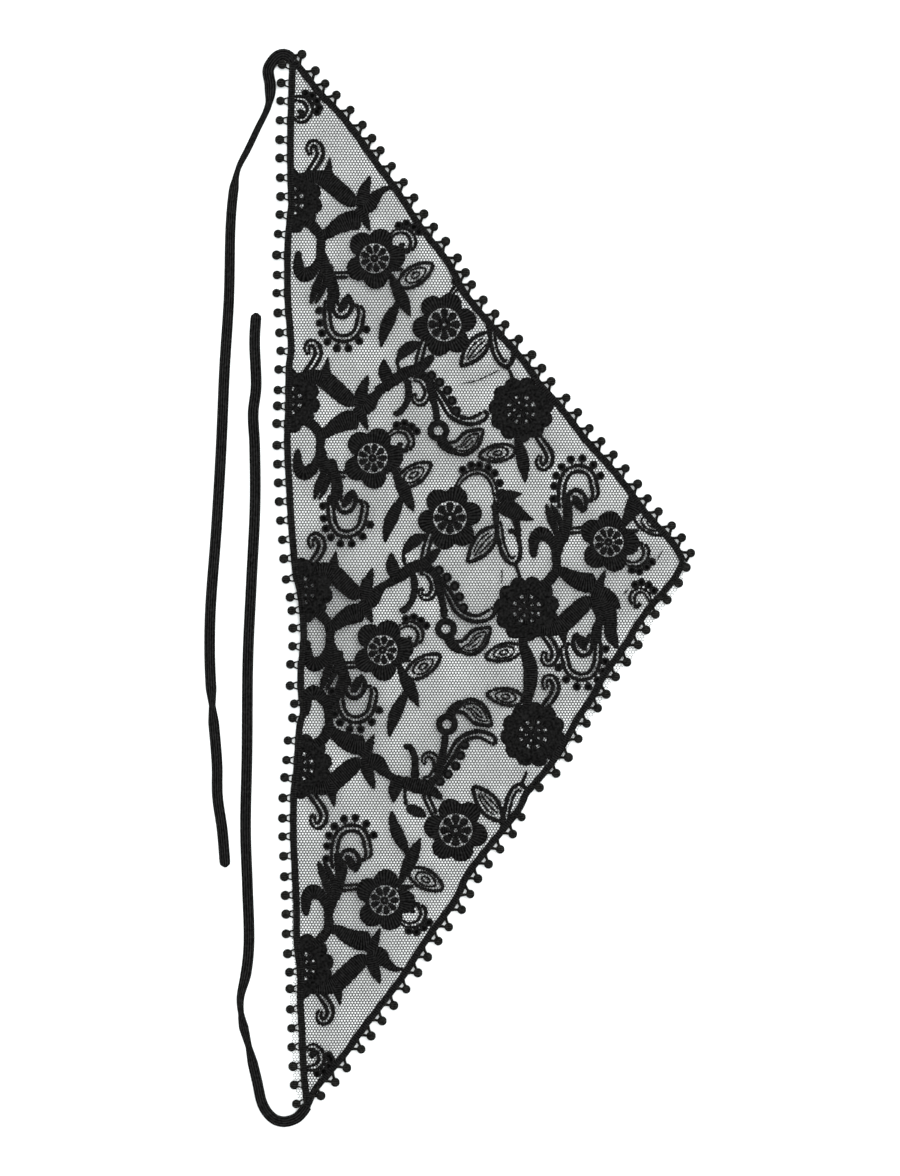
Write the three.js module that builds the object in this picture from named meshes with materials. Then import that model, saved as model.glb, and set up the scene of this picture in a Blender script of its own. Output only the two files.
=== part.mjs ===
// A triangular lace sarong, laid flat. Millimetres, +Z up: the waist edge runs along Y and the
// point of the triangle lies towards +X. A level on the cloth is given by its distance "down" from
// the upper tie corner (towards -Y), and "out" is the distance from that corner towards +X.

import * as THREE from 'three';

// Driving dimensions
const WAIST_LENGTH = 1098; // straight line between the two tie corners
const WAIST_LEAN = 14.7; // how much further out the lower tie corner lies
const POINT_DOWN = 526; // level of the sarong's point
const POINT_OUT = 409.5; // depth of the sarong at its point
const CLOTH_WALL = 1.2; // tulle with its embroidery
const SEAM_GAP = 0.4; // between pieces that are sewn together
const BINDING_WIDTH = 7.2;
const BINDING_WALL = 1.5;
const BINDING_GROOVE = 0.4; // depth of the groove along the tape's middle
const TULLE_UNDER_BINDING = 3; // from the binding's centre line to the cut edge of the tulle
const TRIM_REACH = 15.8; // from the binding's centre line to the far side of the balls
const TRIM_WALL = 5;
const TIE_WIDTH = 10.2;
const TIE_WALL = 1.6;
const TIE_STEPS = 40;

// The triangle is meshed in level rows, closer than this, between its two tie corners
const ROW_STEP = 16;
const UPPER_CORNER_LENGTH = 14; // here the bindings meet and cover the tulle whole
const LOWER_CORNER_LENGTH = 22;
const INNER_COLUMNS = 12;

// How far each edge sways from its straight line, towards +X
const WAIST_SWAY = [
  { down: 0, sway: 0 },
  { down: 14, sway: -1.2 },
  { down: 28, sway: -1.9 },
  { down: 69, sway: -3.6 },
  { down: 100, sway: -4.3 },
  { down: 130, sway: -4.2 },
  { down: 149, sway: -3.8 },
  { down: 165, sway: -5.4 },
  { down: 190, sway: -8.1 },
  { down: 230, sway: -9.2 },
  { down: 258, sway: -8.8 },
  { down: 284, sway: -6.9 },
  { down: 305, sway: -6.2 },
  { down: 320, sway: -8.6 },
  { down: 363, sway: -9.8 },
  { down: 400, sway: -11.6 },
  { down: 444, sway: -10.2 },
  { down: 484, sway: -8.6 },
  { down: 525, sway: -5.7 },
  { down: 540, sway: -4.2 },
  { down: 552, sway: -1.3 },
  { down: 565, sway: 1 },
  { down: 599, sway: 3.1 },
  { down: 620, sway: 1.8 },
  { down: 640, sway: -0.5 },
  { down: 655, sway: -0.9 },
  { down: 667, sway: -0.4 },
  { down: 683, sway: 1.4 },
  { down: 699, sway: -2.6 },
  { down: 725, sway: -4.9 },
  { down: 747, sway: -6.6 },
  { down: 768, sway: -9.6 },
  { down: 815, sway: -10.7 },
  { down: 848, sway: -9.7 },
  { down: 890, sway: -8.4 },
  { down: 922, sway: -8.7 },
  { down: 938, sway: -7.4 },
  { down: 952, sway: -5.8 },
  { down: 965, sway: -5.1 },
  { down: 985, sway: -5.8 },
  { down: 1020, sway: -4.4 },
  { down: 1060, sway: -3.3 },
  { down: 1080, sway: -1.6 },
  { down: WAIST_LENGTH, sway: 0 },
];
const UPPER_HEM_SWAY = [
  { down: 0, sway: 0 },
  { down: 10, sway: 0.9 },
  { down: 21, sway: 0.8 },
  { down: 30, sway: 0.7 },
  { down: 40, sway: 2 },
  { down: 55, sway: 5 },
  { down: 75, sway: 5.6 },
  { down: 95, sway: 4.1 },
  { down: 115, sway: 3 },
  { down: 135, sway: 2.3 },
  { down: 155, sway: 0 },
  { down: 170, sway: -2.3 },
  { down: 190, sway: -2.6 },
  { down: 204, sway: -2.2 },
  { down: 215, sway: -3.5 },
  { down: 225, sway: -5.8 },
  { down: 242, sway: -10.2 },
  { down: 261, sway: -10.3 },
  { down: 280, sway: -8.6 },
  { down: 306, sway: -4.6 },
  { down: 322, sway: -4.2 },
  { down: 340, sway: -6 },
  { down: 357, sway: -3.6 },
  { down: 385, sway: -3 },
  { down: 396, sway: -3.5 },
  { down: 434, sway: 0.9 },
  { down: 455, sway: 0.9 },
  { down: 476, sway: 0 },
  { down: 490, sway: 1.5 },
  { down: 508, sway: 4 },
  { down: POINT_DOWN, sway: 0 },
];
const LOWER_HEM_SWAY = [
  { down: POINT_DOWN, sway: 0 },
  { down: 543, sway: 2.8 },
  { down: 560, sway: 0.9 },
  { down: 575, sway: -1.8 },
  { down: 590, sway: -2.6 },
  { down: 600, sway: -1.9 },
  { down: 608, sway: -0.7 },
  { down: 625, sway: -0.4 },
  { down: 635, sway: -1 },
  { down: 649, sway: -0.4 },
  { down: 670, sway: 2.7 },
  { down: 690, sway: 2.4 },
  { down: 700, sway: 3.9 },
  { down: 718, sway: 6.7 },
  { down: 735, sway: 7.7 },
  { down: 750, sway: 6.6 },
  { down: 762, sway: 4.5 },
  { down: 770, sway: 3.2 },
  { down: 777, sway: 5.2 },
  { down: 785, sway: 6.8 },
  { down: 795, sway: 6.4 },
  { down: 830, sway: 1.9 },
  { down: 853, sway: 0.1 },
  { down: 862, sway: 1.5 },
  { down: 870, sway: 3.7 },
  { down: 880, sway: 5.4 },
  { down: 890, sway: 5.8 },
  { down: 904, sway: 4.7 },
  { down: 918, sway: 4.2 },
  { down: 935, sway: 4.6 },
  { down: 958, sway: 6.1 },
  { down: 980, sway: 4.8 },
  { down: 1000, sway: 3.3 },
  { down: 1020, sway: 1.7 },
  { down: 1041, sway: 1.5 },
  { down: 1065, sway: -2.2 },
  { down: 1080, sway: -4 },
  { down: WAIST_LENGTH, sway: 0 },
];

// Where the cut tulle shows beyond the binding, between the balls
const BARE = [{ down: 0, beyond: 0 }, { down: WAIST_LENGTH, beyond: 0 }];
const WAIST_MARGIN = [
  { down: 850, beyond: 0 },
  { down: 870, beyond: 2 },
  { down: 962, beyond: 2.5 },
  { down: 976, beyond: 7.5 },
  { down: 1070, beyond: 8.5 },
];
const LOWER_HEM_MARGIN = [
  { down: POINT_DOWN, beyond: 0 },
  { down: 548, beyond: 6 },
  { down: 585, beyond: 8.5 },
  { down: 600, beyond: 11 },
  { down: 625, beyond: 11 },
  { down: 640, beyond: 7 },
  { down: 665, beyond: 6.5 },
  { down: 690, beyond: 9 },
  { down: 700, beyond: 3 },
  { down: 750, beyond: 2 },
  { down: 756, beyond: 0 },
];

// Where the ball trim is caught against the binding and reaches less far
const WHOLE_TRIM = [{ down: 0, reach: TRIM_REACH }, { down: WAIST_LENGTH, reach: TRIM_REACH }];
const WAIST_REACH = [
  { down: 656, reach: TRIM_REACH },
  { down: 674, reach: 13.3 },
  { down: 693, reach: 13.8 },
  { down: 714, reach: TRIM_REACH },
];
const LOWER_HEM_REACH = [
  { down: POINT_DOWN, reach: 10 },
  { down: 545, reach: 11 },
  { down: 561, reach: 12.6 },
  { down: 576, reach: 14 },
  { down: 592, reach: TRIM_REACH },
  { down: 725, reach: TRIM_REACH },
  { down: 742, reach: 14.6 },
  { down: 759, reach: 10.8 },
  { down: 790, reach: 12 },
  { down: 805, reach: TRIM_REACH },
];

// Soft ripples where the cloth stands off the surface: each is a long rounded ridge, with its
// middle at (down, out), turned anticlockwise from the waist edge
const RIPPLES = [
  { down: 590, out: 42, length: 230, width: 105, height: 9, turn: 12 },
  { down: 500, out: 60, length: 190, width: 80, height: 4, turn: -28 },
  { down: 690, out: 62, length: 180, width: 80, height: 4.5, turn: 30 },
  { down: 250, out: 100, length: 210, width: 90, height: 3.5, turn: 35 },
  { down: 400, out: 150, length: 220, width: 80, height: 3, turn: 62 },
  { down: 560, out: 190, length: 200, width: 90, height: 3.5, turn: -8 },
  { down: 700, out: 170, length: 230, width: 90, height: 3, turn: -50 },
  { down: 540, out: 310, length: 150, width: 80, height: 3, turn: -60 },
  { down: 880, out: 70, length: 220, width: 80, height: 3, turn: 14 },
];

// Routes of the two ties, point by point from the binding to the free end. Each leaves at the
// binding's own height, turns back beside the waist and then comes down to the surface
const BINDING_HEIGHT = CLOTH_WALL + SEAM_GAP + BINDING_WALL / 2;
const RESTING = TIE_WALL / 2 + 0.2;
const HALFWAY = (BINDING_HEIGHT + RESTING) / 2;
const UPPER_TIE_ROUTE = [
  { down: 1, out: -0.35, height: BINDING_HEIGHT },
  { down: -1.9, out: -2.4, height: BINDING_HEIGHT },
  { down: -5, out: -6.2, height: BINDING_HEIGHT },
  { down: -6, out: -11, height: BINDING_HEIGHT },
  { down: -3.6, out: -17, height: BINDING_HEIGHT },
  { down: 2.5, out: -22.5, height: BINDING_HEIGHT },
  { down: 10.5, out: -26.2, height: BINDING_HEIGHT },
  { down: 27, out: -24, height: BINDING_HEIGHT },
  { down: 47, out: -26, height: HALFWAY },
  { down: 73, out: -38, height: RESTING },
  { down: 93, out: -47.5, height: RESTING },
  { down: 113, out: -57.5, height: RESTING },
  { down: 133, out: -62, height: RESTING },
  { down: 169, out: -65.5, height: RESTING },
  { down: 250, out: -67.5, height: RESTING },
  { down: 323, out: -72, height: RESTING },
  { down: 404, out: -75.5, height: RESTING },
  { down: 490, out: -80.5, height: RESTING },
  { down: 580, out: -87, height: RESTING },
  { down: 630, out: -87.5, height: RESTING },
  { down: 677, out: -85, height: RESTING },
  { down: 738, out: -80, height: RESTING },
  { down: 772, out: -79.5, height: RESTING },
  { down: 808, out: -74.5, height: RESTING },
  { down: 844, out: -71.5, height: RESTING },
];
const LOWER_TIE_ROUTE = [
  { down: 1097.5, out: 14.3, height: BINDING_HEIGHT },
  { down: 1100.4, out: 12.3, height: BINDING_HEIGHT },
  { down: 1104.5, out: 9.3, height: BINDING_HEIGHT },
  { down: 1109.5, out: 4.2, height: BINDING_HEIGHT },
  { down: 1112.8, out: -3.2, height: BINDING_HEIGHT },
  { down: 1113.8, out: -10.5, height: BINDING_HEIGHT },
  { down: 1111.6, out: -18.9, height: BINDING_HEIGHT },
  { down: 1105, out: -26.5, height: BINDING_HEIGHT },
  { down: 1094.5, out: -32.5, height: BINDING_HEIGHT },
  { down: 1071, out: -38, height: HALFWAY },
  { down: 1040, out: -45.5, height: RESTING },
  { down: 1005, out: -54, height: RESTING },
  { down: 985, out: -55.5, height: RESTING },
  { down: 958, out: -49.5, height: RESTING },
  { down: 928, out: -46.5, height: RESTING },
  { down: 868, out: -48, height: RESTING },
  { down: 808, out: -50, height: RESTING },
  { down: 727, out: -48.5, height: RESTING },
  { down: 627, out: -47.5, height: RESTING },
  { down: 550, out: -44, height: RESTING },
  { down: 464, out: -40, height: RESTING },
  { down: 404, out: -40.5, height: RESTING },
  { down: 370, out: -42, height: RESTING },
  { down: 343, out: -39, height: RESTING },
  { down: 294, out: -40.5, height: RESTING },
  { down: 268, out: -39, height: RESTING },
];

const COLORS = { tulle: 0x4a4a4c, tape: 0x1f1f20, balls: 0x242425, tie: 0x1c1c1d };

// A column of a table at a level: straight between its rows, level beyond them
function fromTable(rows, column, down) {
  const next = rows.findIndex((row) => row.down >= down);
  if (next === 0) return rows[0][column];
  if (next < 0) return rows[rows.length - 1][column];
  const before = rows[next - 1];
  const after = rows[next];
  const part = (down - before.down) / (after.down - before.down);
  return before[column] + part * (after[column] - before[column]);
}

// The same, as one smooth curve through the rows
function smoothFromTable(rows, column, down) {
  const slope = (index) => {
    const before = rows[Math.max(index - 1, 0)];
    const after = rows[Math.min(index + 1, rows.length - 1)];
    return (after[column] - before[column]) / (after.down - before.down);
  };
  const found = rows.findIndex((row) => row.down >= down);
  const next = found < 0 ? rows.length - 1 : Math.max(found, 1);
  const before = rows[next - 1];
  const after = rows[next];
  const span = after.down - before.down;
  const t = (down - before.down) / span;
  const start = (2 * t ** 3 - 3 * t ** 2 + 1) * before[column] + (t ** 3 - 2 * t ** 2 + t) * span * slope(next - 1);
  const end = (3 * t ** 2 - 2 * t ** 3) * after[column] + (t ** 3 - t ** 2) * span * slope(next);
  return start + end;
}

// Height of the cloth's underside over the surface
function lift(out, down) {
  let height = 0;
  for (const ripple of RIPPLES) {
    const turn = THREE.MathUtils.degToRad(ripple.turn);
    const x = out - ripple.out;
    const y = ripple.down - down;
    const along = (y * Math.cos(turn) - x * Math.sin(turn)) / (ripple.length / 2);
    const across = (x * Math.cos(turn) + y * Math.sin(turn)) / (ripple.width / 2);
    const far = Math.hypot(along, across);
    if (far < 1) height += ripple.height * ((1 + Math.cos(Math.PI * far)) / 2);
  }
  return height;
}

// An edge of the triangle: its binding's centre line, and which way is out of the cloth
function edge(start, end, sways, outward) {
  const middle = (down) => {
    const part = (down - start.down) / (end.down - start.down);
    return start.out + part * (end.out - start.out) + smoothFromTable(sways, 'sway', down);
  };
  const at = (down) => {
    const along = new THREE.Vector2(middle(down + 1) - middle(down - 1), -2).normalize();
    const out = new THREE.Vector2(-along.y, along.x).multiplyScalar(outward);
    return { centre: new THREE.Vector2(middle(down), -down), along, out };
  };
  return { start: start.down, end: end.down, outward, middle, at };
}

const UPPER_CORNER = { down: 0, out: 0 };
const POINT = { down: POINT_DOWN, out: POINT_OUT };
const LOWER_CORNER = { down: WAIST_LENGTH, out: WAIST_LEAN };
const waist = edge(UPPER_CORNER, LOWER_CORNER, WAIST_SWAY, -1);
const upperHem = edge(UPPER_CORNER, POINT, UPPER_HEM_SWAY, 1);
const lowerHem = edge(POINT, LOWER_CORNER, LOWER_HEM_SWAY, 1);

// Even levels from one to another, no further apart than the row step
function levels(from, to) {
  const count = Math.ceil((to - from) / ROW_STEP);
  return Array.from({ length: count + 1 }, (_, index) => from + ((to - from) * index) / count);
}
const UPPER_LEVELS = levels(UPPER_CORNER_LENGTH, POINT_DOWN);
const LOWER_LEVELS = levels(POINT_DOWN, WAIST_LENGTH - LOWER_CORNER_LENGTH);

// One closed body from rings of points: all rings have the same number, anticlockwise when looked
// at from the first ring's outside, and every point of a ring is in plain sight of its first
function bodyFromRings(rings) {
  const size = rings[0].length;
  const positions = rings.flat().flatMap((point) => [point.x, point.y, point.z]);
  const faces = [];
  for (let ring = 0; ring < rings.length - 1; ring++) {
    for (let side = 0; side < size; side++) {
      const next = (side + 1) % size;
      const a = ring * size + side;
      const b = ring * size + next;
      faces.push(a, b, b + size, a, b + size, a + size);
    }
  }
  const last = (rings.length - 1) * size;
  for (let side = 1; side < size - 1; side++) {
    faces.push(0, side + 1, side, last, last + side, last + side + 1);
  }
  const geometry = new THREE.BufferGeometry();
  geometry.setAttribute('position', new THREE.Float32BufferAttribute(positions, 3));
  geometry.setIndex(faces);
  return geometry;
}

// One closed wall from rows of points on its upper side, each moved down by the wall's thickness
function wallFromRows(rows, thickness) {
  const width = rows[0].length;
  const count = rows.length * width;
  const upper = rows.flat();
  const lower = upper.map((point) => point.clone().setZ(point.z - thickness));
  const positions = [...upper, ...lower].flatMap((point) => [point.x, point.y, point.z]);
  const faces = [];
  for (let row = 0; row < rows.length - 1; row++) {
    for (let column = 0; column < width - 1; column++) {
      const a = row * width + column;
      const [b, c, d] = [a + 1, a + width, a + width + 1];
      faces.push(a, c, b, b, c, d);
      faces.push(a + count, b + count, c + count, b + count, d + count, c + count);
    }
  }
  const rim = [];
  for (let column = 0; column < width - 1; column++) rim.push(column);
  for (let row = 0; row < rows.length - 1; row++) rim.push(row * width + width - 1);
  for (let column = width - 1; column > 0; column--) rim.push((rows.length - 1) * width + column);
  for (let row = rows.length - 1; row > 0; row--) rim.push(row * width);
  rim.forEach((a, index) => {
    const b = rim[(index + 1) % rim.length];
    faces.push(a, b, b + count, a, b + count, a + count);
  });
  const geometry = new THREE.BufferGeometry();
  geometry.setAttribute('position', new THREE.Float32BufferAttribute(positions, 3));
  geometry.setIndex(faces);
  return geometry;
}

// The tulle triangle: level rows from the waist edge to the hem, level across under each binding
function lacePanel() {
  const cover = BINDING_WIDTH / 2 + 1; // the stretch that stays level across, on either side
  const row = (down, hem, hemMargin) => {
    const waistCut = TULLE_UNDER_BINDING + fromTable(WAIST_MARGIN, 'beyond', down);
    const hemCut = TULLE_UNDER_BINDING + fromTable(hemMargin, 'beyond', down);
    const waistMiddle = waist.middle(down);
    const hemMiddle = hem.middle(down);
    const waistWide = 1 / Math.abs(waist.at(down).out.x); // a level cut across a slanting strip
    const hemWide = 1 / Math.abs(hem.at(Math.min(Math.max(down, hem.start + 1), hem.end - 1)).out.x);
    const most = (hemMiddle - waistMiddle) * 0.35; // in the narrow corners
    const first = waistMiddle + Math.min(cover * waistWide, most);
    const last = hemMiddle - Math.min(cover * hemWide, most);
    const top = (x, y) => CLOTH_WALL + lift(x, y);
    const points = [
      new THREE.Vector3(waistMiddle - waistCut * waistWide, -down, top(waistMiddle, down)),
      new THREE.Vector3(first, -down, top(waistMiddle, down)),
    ];
    for (let column = 1; column <= INNER_COLUMNS; column++) {
      const x = first + ((last - first) * column) / (INNER_COLUMNS + 1);
      points.push(new THREE.Vector3(x, -down, top(x, down)));
    }
    points.push(new THREE.Vector3(last, -down, top(hemMiddle, down)));
    points.push(new THREE.Vector3(hemMiddle + hemCut * hemWide, -down, top(hemMiddle, down)));
    return points;
  };
  const rows = [
    ...UPPER_LEVELS.map((down) => row(down, upperHem, BARE)),
    ...LOWER_LEVELS.slice(1).map((down) => row(down, lowerHem, LOWER_HEM_MARGIN)),
  ];
  return wallFromRows(rows, CLOTH_WALL);
}

// A strip along an edge. Its section lists {side, height}, with side measured outwards from the
// binding's centre line; startCut and endCut say how far each side's end is moved along the edge
function edgeStrip(line, stops, sectionAt, startCut, endCut) {
  const rings = stops.map((down, index) => {
    const { centre, along, out } = line.at(down);
    const ring = sectionAt(down).map(({ side, height }) => {
      let slide = 0;
      if (index === 0) slide = startCut(side);
      if (index === stops.length - 1) slide = endCut(side);
      const spot = centre.clone().addScaledVector(out, side).addScaledVector(along, slide);
      return new THREE.Vector3(spot.x, spot.y, height + lift(centre.x, down));
    });
    const [first, ...others] = ring;
    return line.outward < 0 ? [first, ...others.reverse()] : ring;
  });
  return bodyFromRings(rings);
}

// Where a hem's binding stops short of the binding that it meets, side by side with it
function mitre(line, down, other, otherDown, direction) {
  const { along, out } = line.at(down);
  const inward = other.at(otherDown).out.clone().negate();
  const clear = BINDING_WIDTH / 2 + SEAM_GAP;
  return (side) => (direction * (clear - side * out.dot(inward))) / (direction * along.dot(inward));
}

// Flat tape with a groove along its middle, lying on the tulle
function bindingSection() {
  const half = BINDING_WIDTH / 2;
  const foot = CLOTH_WALL + SEAM_GAP;
  const top = foot + BINDING_WALL;
  return [
    { side: 0, height: top - BINDING_GROOVE },
    { side: -0.9, height: top },
    { side: -half, height: top - 0.3 },
    { side: -half, height: foot },
    { side: half, height: foot },
    { side: half, height: top - 0.5 },
    { side: half - 0.8, height: top },
    { side: 0.9, height: top },
  ];
}

// The reach of the ball trim, as one plain rounded strip. It rests on the surface, or on the
// tulle where the cut edge shows beyond the binding
function trimSection(margins, reaches) {
  return (down) => {
    const near = [down - ROW_STEP, down, down + ROW_STEP];
    const onTulle = near.some((level) => fromTable(margins, 'beyond', level) > 0);
    const foot = onTulle ? CLOTH_WALL + SEAM_GAP : 0;
    const inner = BINDING_WIDTH / 2 + SEAM_GAP;
    const outer = fromTable(reaches, 'reach', down);
    return [
      { side: inner, height: foot },
      { side: outer - 1.5, height: foot },
      { side: outer, height: foot + TRIM_WALL / 2 },
      { side: outer - 1.5, height: foot + TRIM_WALL },
      { side: inner + 3, height: foot + TRIM_WALL },
      { side: inner, height: foot + TRIM_WALL / 2 },
    ];
  };
}

// A route whose steps follow its own points, so the tight bends get more of them
class TieRoute extends THREE.CatmullRomCurve3 {
  getUtoTmapping(u) {
    return u;
  }
}

// A flat tie with rounded edges along its route
function tie(route) {
  const points = route.map(({ down, out, height }) => new THREE.Vector3(out, -down, height));
  const [thin, wide] = [TIE_WALL / 2, TIE_WIDTH / 2];
  const outline = [
    [-thin, -wide + 1], [-thin / 2, -wide], [thin / 2, -wide], [thin, -wide + 1],
    [thin, wide - 1], [thin / 2, wide], [-thin / 2, wide], [-thin, wide - 1],
  ];
  const section = new THREE.Shape(outline.map(([x, y]) => new THREE.Vector2(x, y)));
  const extrudePath = new TieRoute(points, false, 'centripetal');
  return new THREE.ExtrudeGeometry(section, { steps: TIE_STEPS, extrudePath, bevelEnabled: false });
}

const group = new THREE.Group();
function add(name, geometry, color, roughness) {
  const material = new THREE.MeshStandardMaterial({ color, roughness, metalness: 0, name });
  const mesh = new THREE.Mesh(geometry, material);
  mesh.name = name;
  group.add(mesh);
  return mesh;
}

const waistStops = [0, ...UPPER_LEVELS, ...LOWER_LEVELS.slice(1), WAIST_LENGTH];
const upperHemStops = [0, ...UPPER_LEVELS];
const lowerHemStops = [...LOWER_LEVELS, WAIST_LENGTH];
const square = (slide) => () => slide;
const TIE_SLANT = 0.7; // the waist's binding is cut on a slant, where the ties turn away from it

add('lace_panel', lacePanel(), COLORS.tulle, 0.8);
add(
  'waist_binding',
  edgeStrip(waist, waistStops, bindingSection,
    (side) => 1.5 + TIE_SLANT * side, (side) => -1 - TIE_SLANT * side),
  COLORS.tape, 0.7,
);
add(
  'upper_hem_binding',
  edgeStrip(upperHem, upperHemStops, bindingSection,
    mitre(upperHem, 0, waist, 0, 1), square(BINDING_WIDTH / 2)),
  COLORS.tape, 0.7,
);
add(
  'lower_hem_binding',
  edgeStrip(lowerHem, lowerHemStops, bindingSection,
    mitre(lowerHem, POINT_DOWN, upperHem, POINT_DOWN, 1),
    mitre(lowerHem, WAIST_LENGTH, waist, WAIST_LENGTH, -1)),
  COLORS.tape, 0.7,
);
add(
  'waist_ball_trim',
  edgeStrip(waist, waistStops, trimSection(WAIST_MARGIN, WAIST_REACH), square(6), square(-6)),
  COLORS.balls, 0.75,
);
add(
  'upper_hem_ball_trim',
  edgeStrip(upperHem, upperHemStops, trimSection(BARE, WHOLE_TRIM), square(8), square(0)),
  COLORS.balls, 0.75,
);
add(
  'lower_hem_ball_trim',
  edgeStrip(lowerHem, lowerHemStops, trimSection(LOWER_HEM_MARGIN, LOWER_HEM_REACH),
    square(1.5), square(-10)),
  COLORS.balls, 0.75,
);

// The origin is under the middle of the sarong, without its ties
const laid = new THREE.Box3().setFromObject(group);
const middle = laid.getCenter(new THREE.Vector3());
add('upper_tie', tie(UPPER_TIE_ROUTE), COLORS.tie, 0.6);
add('lower_tie', tie(LOWER_TIE_ROUTE), COLORS.tie, 0.6);
for (const mesh of group.children) mesh.position.set(-middle.x, -middle.y, -laid.min.z);

export default group;
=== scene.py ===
"""A black lace sarong laid flat: embroidered tulle, narrow bindings, ball trim and two flat ties.

The chart of the embroidery is in millimetres. A level on the cloth is its distance "down" from the
upper tie corner, and "out" is the distance from that corner towards the sarong's point.
"""

import math
import random
from collections import namedtuple

import bpy
import numpy as np
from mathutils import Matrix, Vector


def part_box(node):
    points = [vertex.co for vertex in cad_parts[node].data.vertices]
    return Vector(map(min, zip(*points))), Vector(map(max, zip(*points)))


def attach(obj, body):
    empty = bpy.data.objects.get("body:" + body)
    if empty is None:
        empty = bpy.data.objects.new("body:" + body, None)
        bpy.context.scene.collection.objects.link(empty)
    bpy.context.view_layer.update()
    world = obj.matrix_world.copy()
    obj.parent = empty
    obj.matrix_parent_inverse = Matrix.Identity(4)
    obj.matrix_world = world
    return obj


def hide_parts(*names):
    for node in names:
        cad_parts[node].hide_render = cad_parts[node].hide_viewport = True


bl_info = {
    "name": "Lace sarong",
    "version": (1, 0, 0),
    "blender": (4, 5, 0),
    "location": "View3D > Sidebar > Lace sarong",
    "description": "A triangular lace sarong with ball trim and two ties, laid flat",
    "category": "Object",
}

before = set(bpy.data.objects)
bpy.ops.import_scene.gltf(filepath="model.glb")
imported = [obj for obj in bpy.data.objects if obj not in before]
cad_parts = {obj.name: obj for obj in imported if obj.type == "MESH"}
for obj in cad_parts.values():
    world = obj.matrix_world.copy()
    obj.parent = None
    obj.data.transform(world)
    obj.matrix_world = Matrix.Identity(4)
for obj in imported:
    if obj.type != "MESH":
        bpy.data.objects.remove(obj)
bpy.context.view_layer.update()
MM = 0.001

# ---------------------------------------------------------------- sizes of the cut, in millimetres

WAIST_LENGTH = 1098
WAIST_LEAN = 14.7  # how much further out the lower tie corner lies
POINT_DOWN = 526
POINT_OUT = 409.5
FIRST_ROW_DOWN = 14  # level of the frame panel's first row
TULLE_UNDER_BINDING = 3  # from the binding's middle line to the cut edge of the tulle
NET_HEIGHT = 0.9  # middle of the net over the surface, where the cloth lies flat
NET_WALL = 0.3

# How far each edge sways outwards from its straight line: (down, sway)
WAIST_SWAY = (
    (0, 0), (14, -1.2), (28, -1.9), (69, -3.6), (100, -4.3), (130, -4.2), (149, -3.8), (165, -5.4),
    (190, -8.1), (230, -9.2), (258, -8.8), (284, -6.9), (305, -6.2), (320, -8.6), (363, -9.8),
    (400, -11.6), (444, -10.2), (484, -8.6), (525, -5.7), (540, -4.2), (552, -1.3), (565, 1),
    (599, 3.1), (620, 1.8), (640, -0.5), (655, -0.9), (667, -0.4), (683, 1.4), (699, -2.6),
    (725, -4.9), (747, -6.6), (768, -9.6), (815, -10.7), (848, -9.7), (890, -8.4), (922, -8.7),
    (938, -7.4), (952, -5.8), (965, -5.1), (985, -5.8), (1020, -4.4), (1060, -3.3), (1080, -1.6),
    (WAIST_LENGTH, 0),
)
UPPER_HEM_SWAY = (
    (0, 0), (10, 0.9), (21, 0.8), (30, 0.7), (40, 2), (55, 5), (75, 5.6), (95, 4.1), (115, 3),
    (135, 2.3), (155, 0), (170, -2.3), (190, -2.6), (204, -2.2), (215, -3.5), (225, -5.8),
    (242, -10.2), (261, -10.3), (280, -8.6), (306, -4.6), (322, -4.2), (340, -6), (357, -3.6),
    (385, -3), (396, -3.5), (434, 0.9), (455, 0.9), (476, 0), (490, 1.5), (508, 4), (POINT_DOWN, 0),
)
LOWER_HEM_SWAY = (
    (POINT_DOWN, 0), (543, 2.8), (560, 0.9), (575, -1.8), (590, -2.6), (600, -1.9), (608, -0.7),
    (625, -0.4), (635, -1), (649, -0.4), (670, 2.7), (690, 2.4), (700, 3.9), (718, 6.7), (735, 7.7),
    (750, 6.6), (762, 4.5), (770, 3.2), (777, 5.2), (785, 6.8), (795, 6.4), (830, 1.9), (853, 0.1),
    (862, 1.5), (870, 3.7), (880, 5.4), (890, 5.8), (904, 4.7), (918, 4.2), (935, 4.6), (958, 6.1),
    (980, 4.8), (1000, 3.3), (1020, 1.7), (1041, 1.5), (1065, -2.2), (1080, -4), (WAIST_LENGTH, 0),
)

# Where the cut tulle shows beyond the binding, between the balls: (down, beyond)
WAIST_MARGIN = ((850, 0), (870, 2), (962, 2.5), (976, 7.5), (1070, 8.5), (1084, 7.5), (1091, 5))
LOWER_HEM_MARGIN = (
    (POINT_DOWN + 4, 0), (548, 6), (585, 8.5), (600, 11), (625, 11), (640, 7), (665, 6.5), (690, 9),
    (700, 3), (750, 2), (756, 0),
)

# Long rounded ripples where the cloth stands off the surface
Ripple = namedtuple("Ripple", "down out length width height turn")
RIPPLES = (
    Ripple(590, 42, 230, 105, 9, 12),
    Ripple(500, 60, 190, 80, 4, -28),
    Ripple(690, 62, 180, 80, 4.5, 30),
    Ripple(250, 100, 210, 90, 3.5, 35),
    Ripple(400, 150, 220, 80, 3, 62),
    Ripple(560, 190, 200, 90, 3.5, -8),
    Ripple(700, 170, 230, 90, 3, -50),
    Ripple(540, 310, 150, 80, 3, -60),
    Ripple(880, 70, 220, 80, 3, 14),
)

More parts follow.
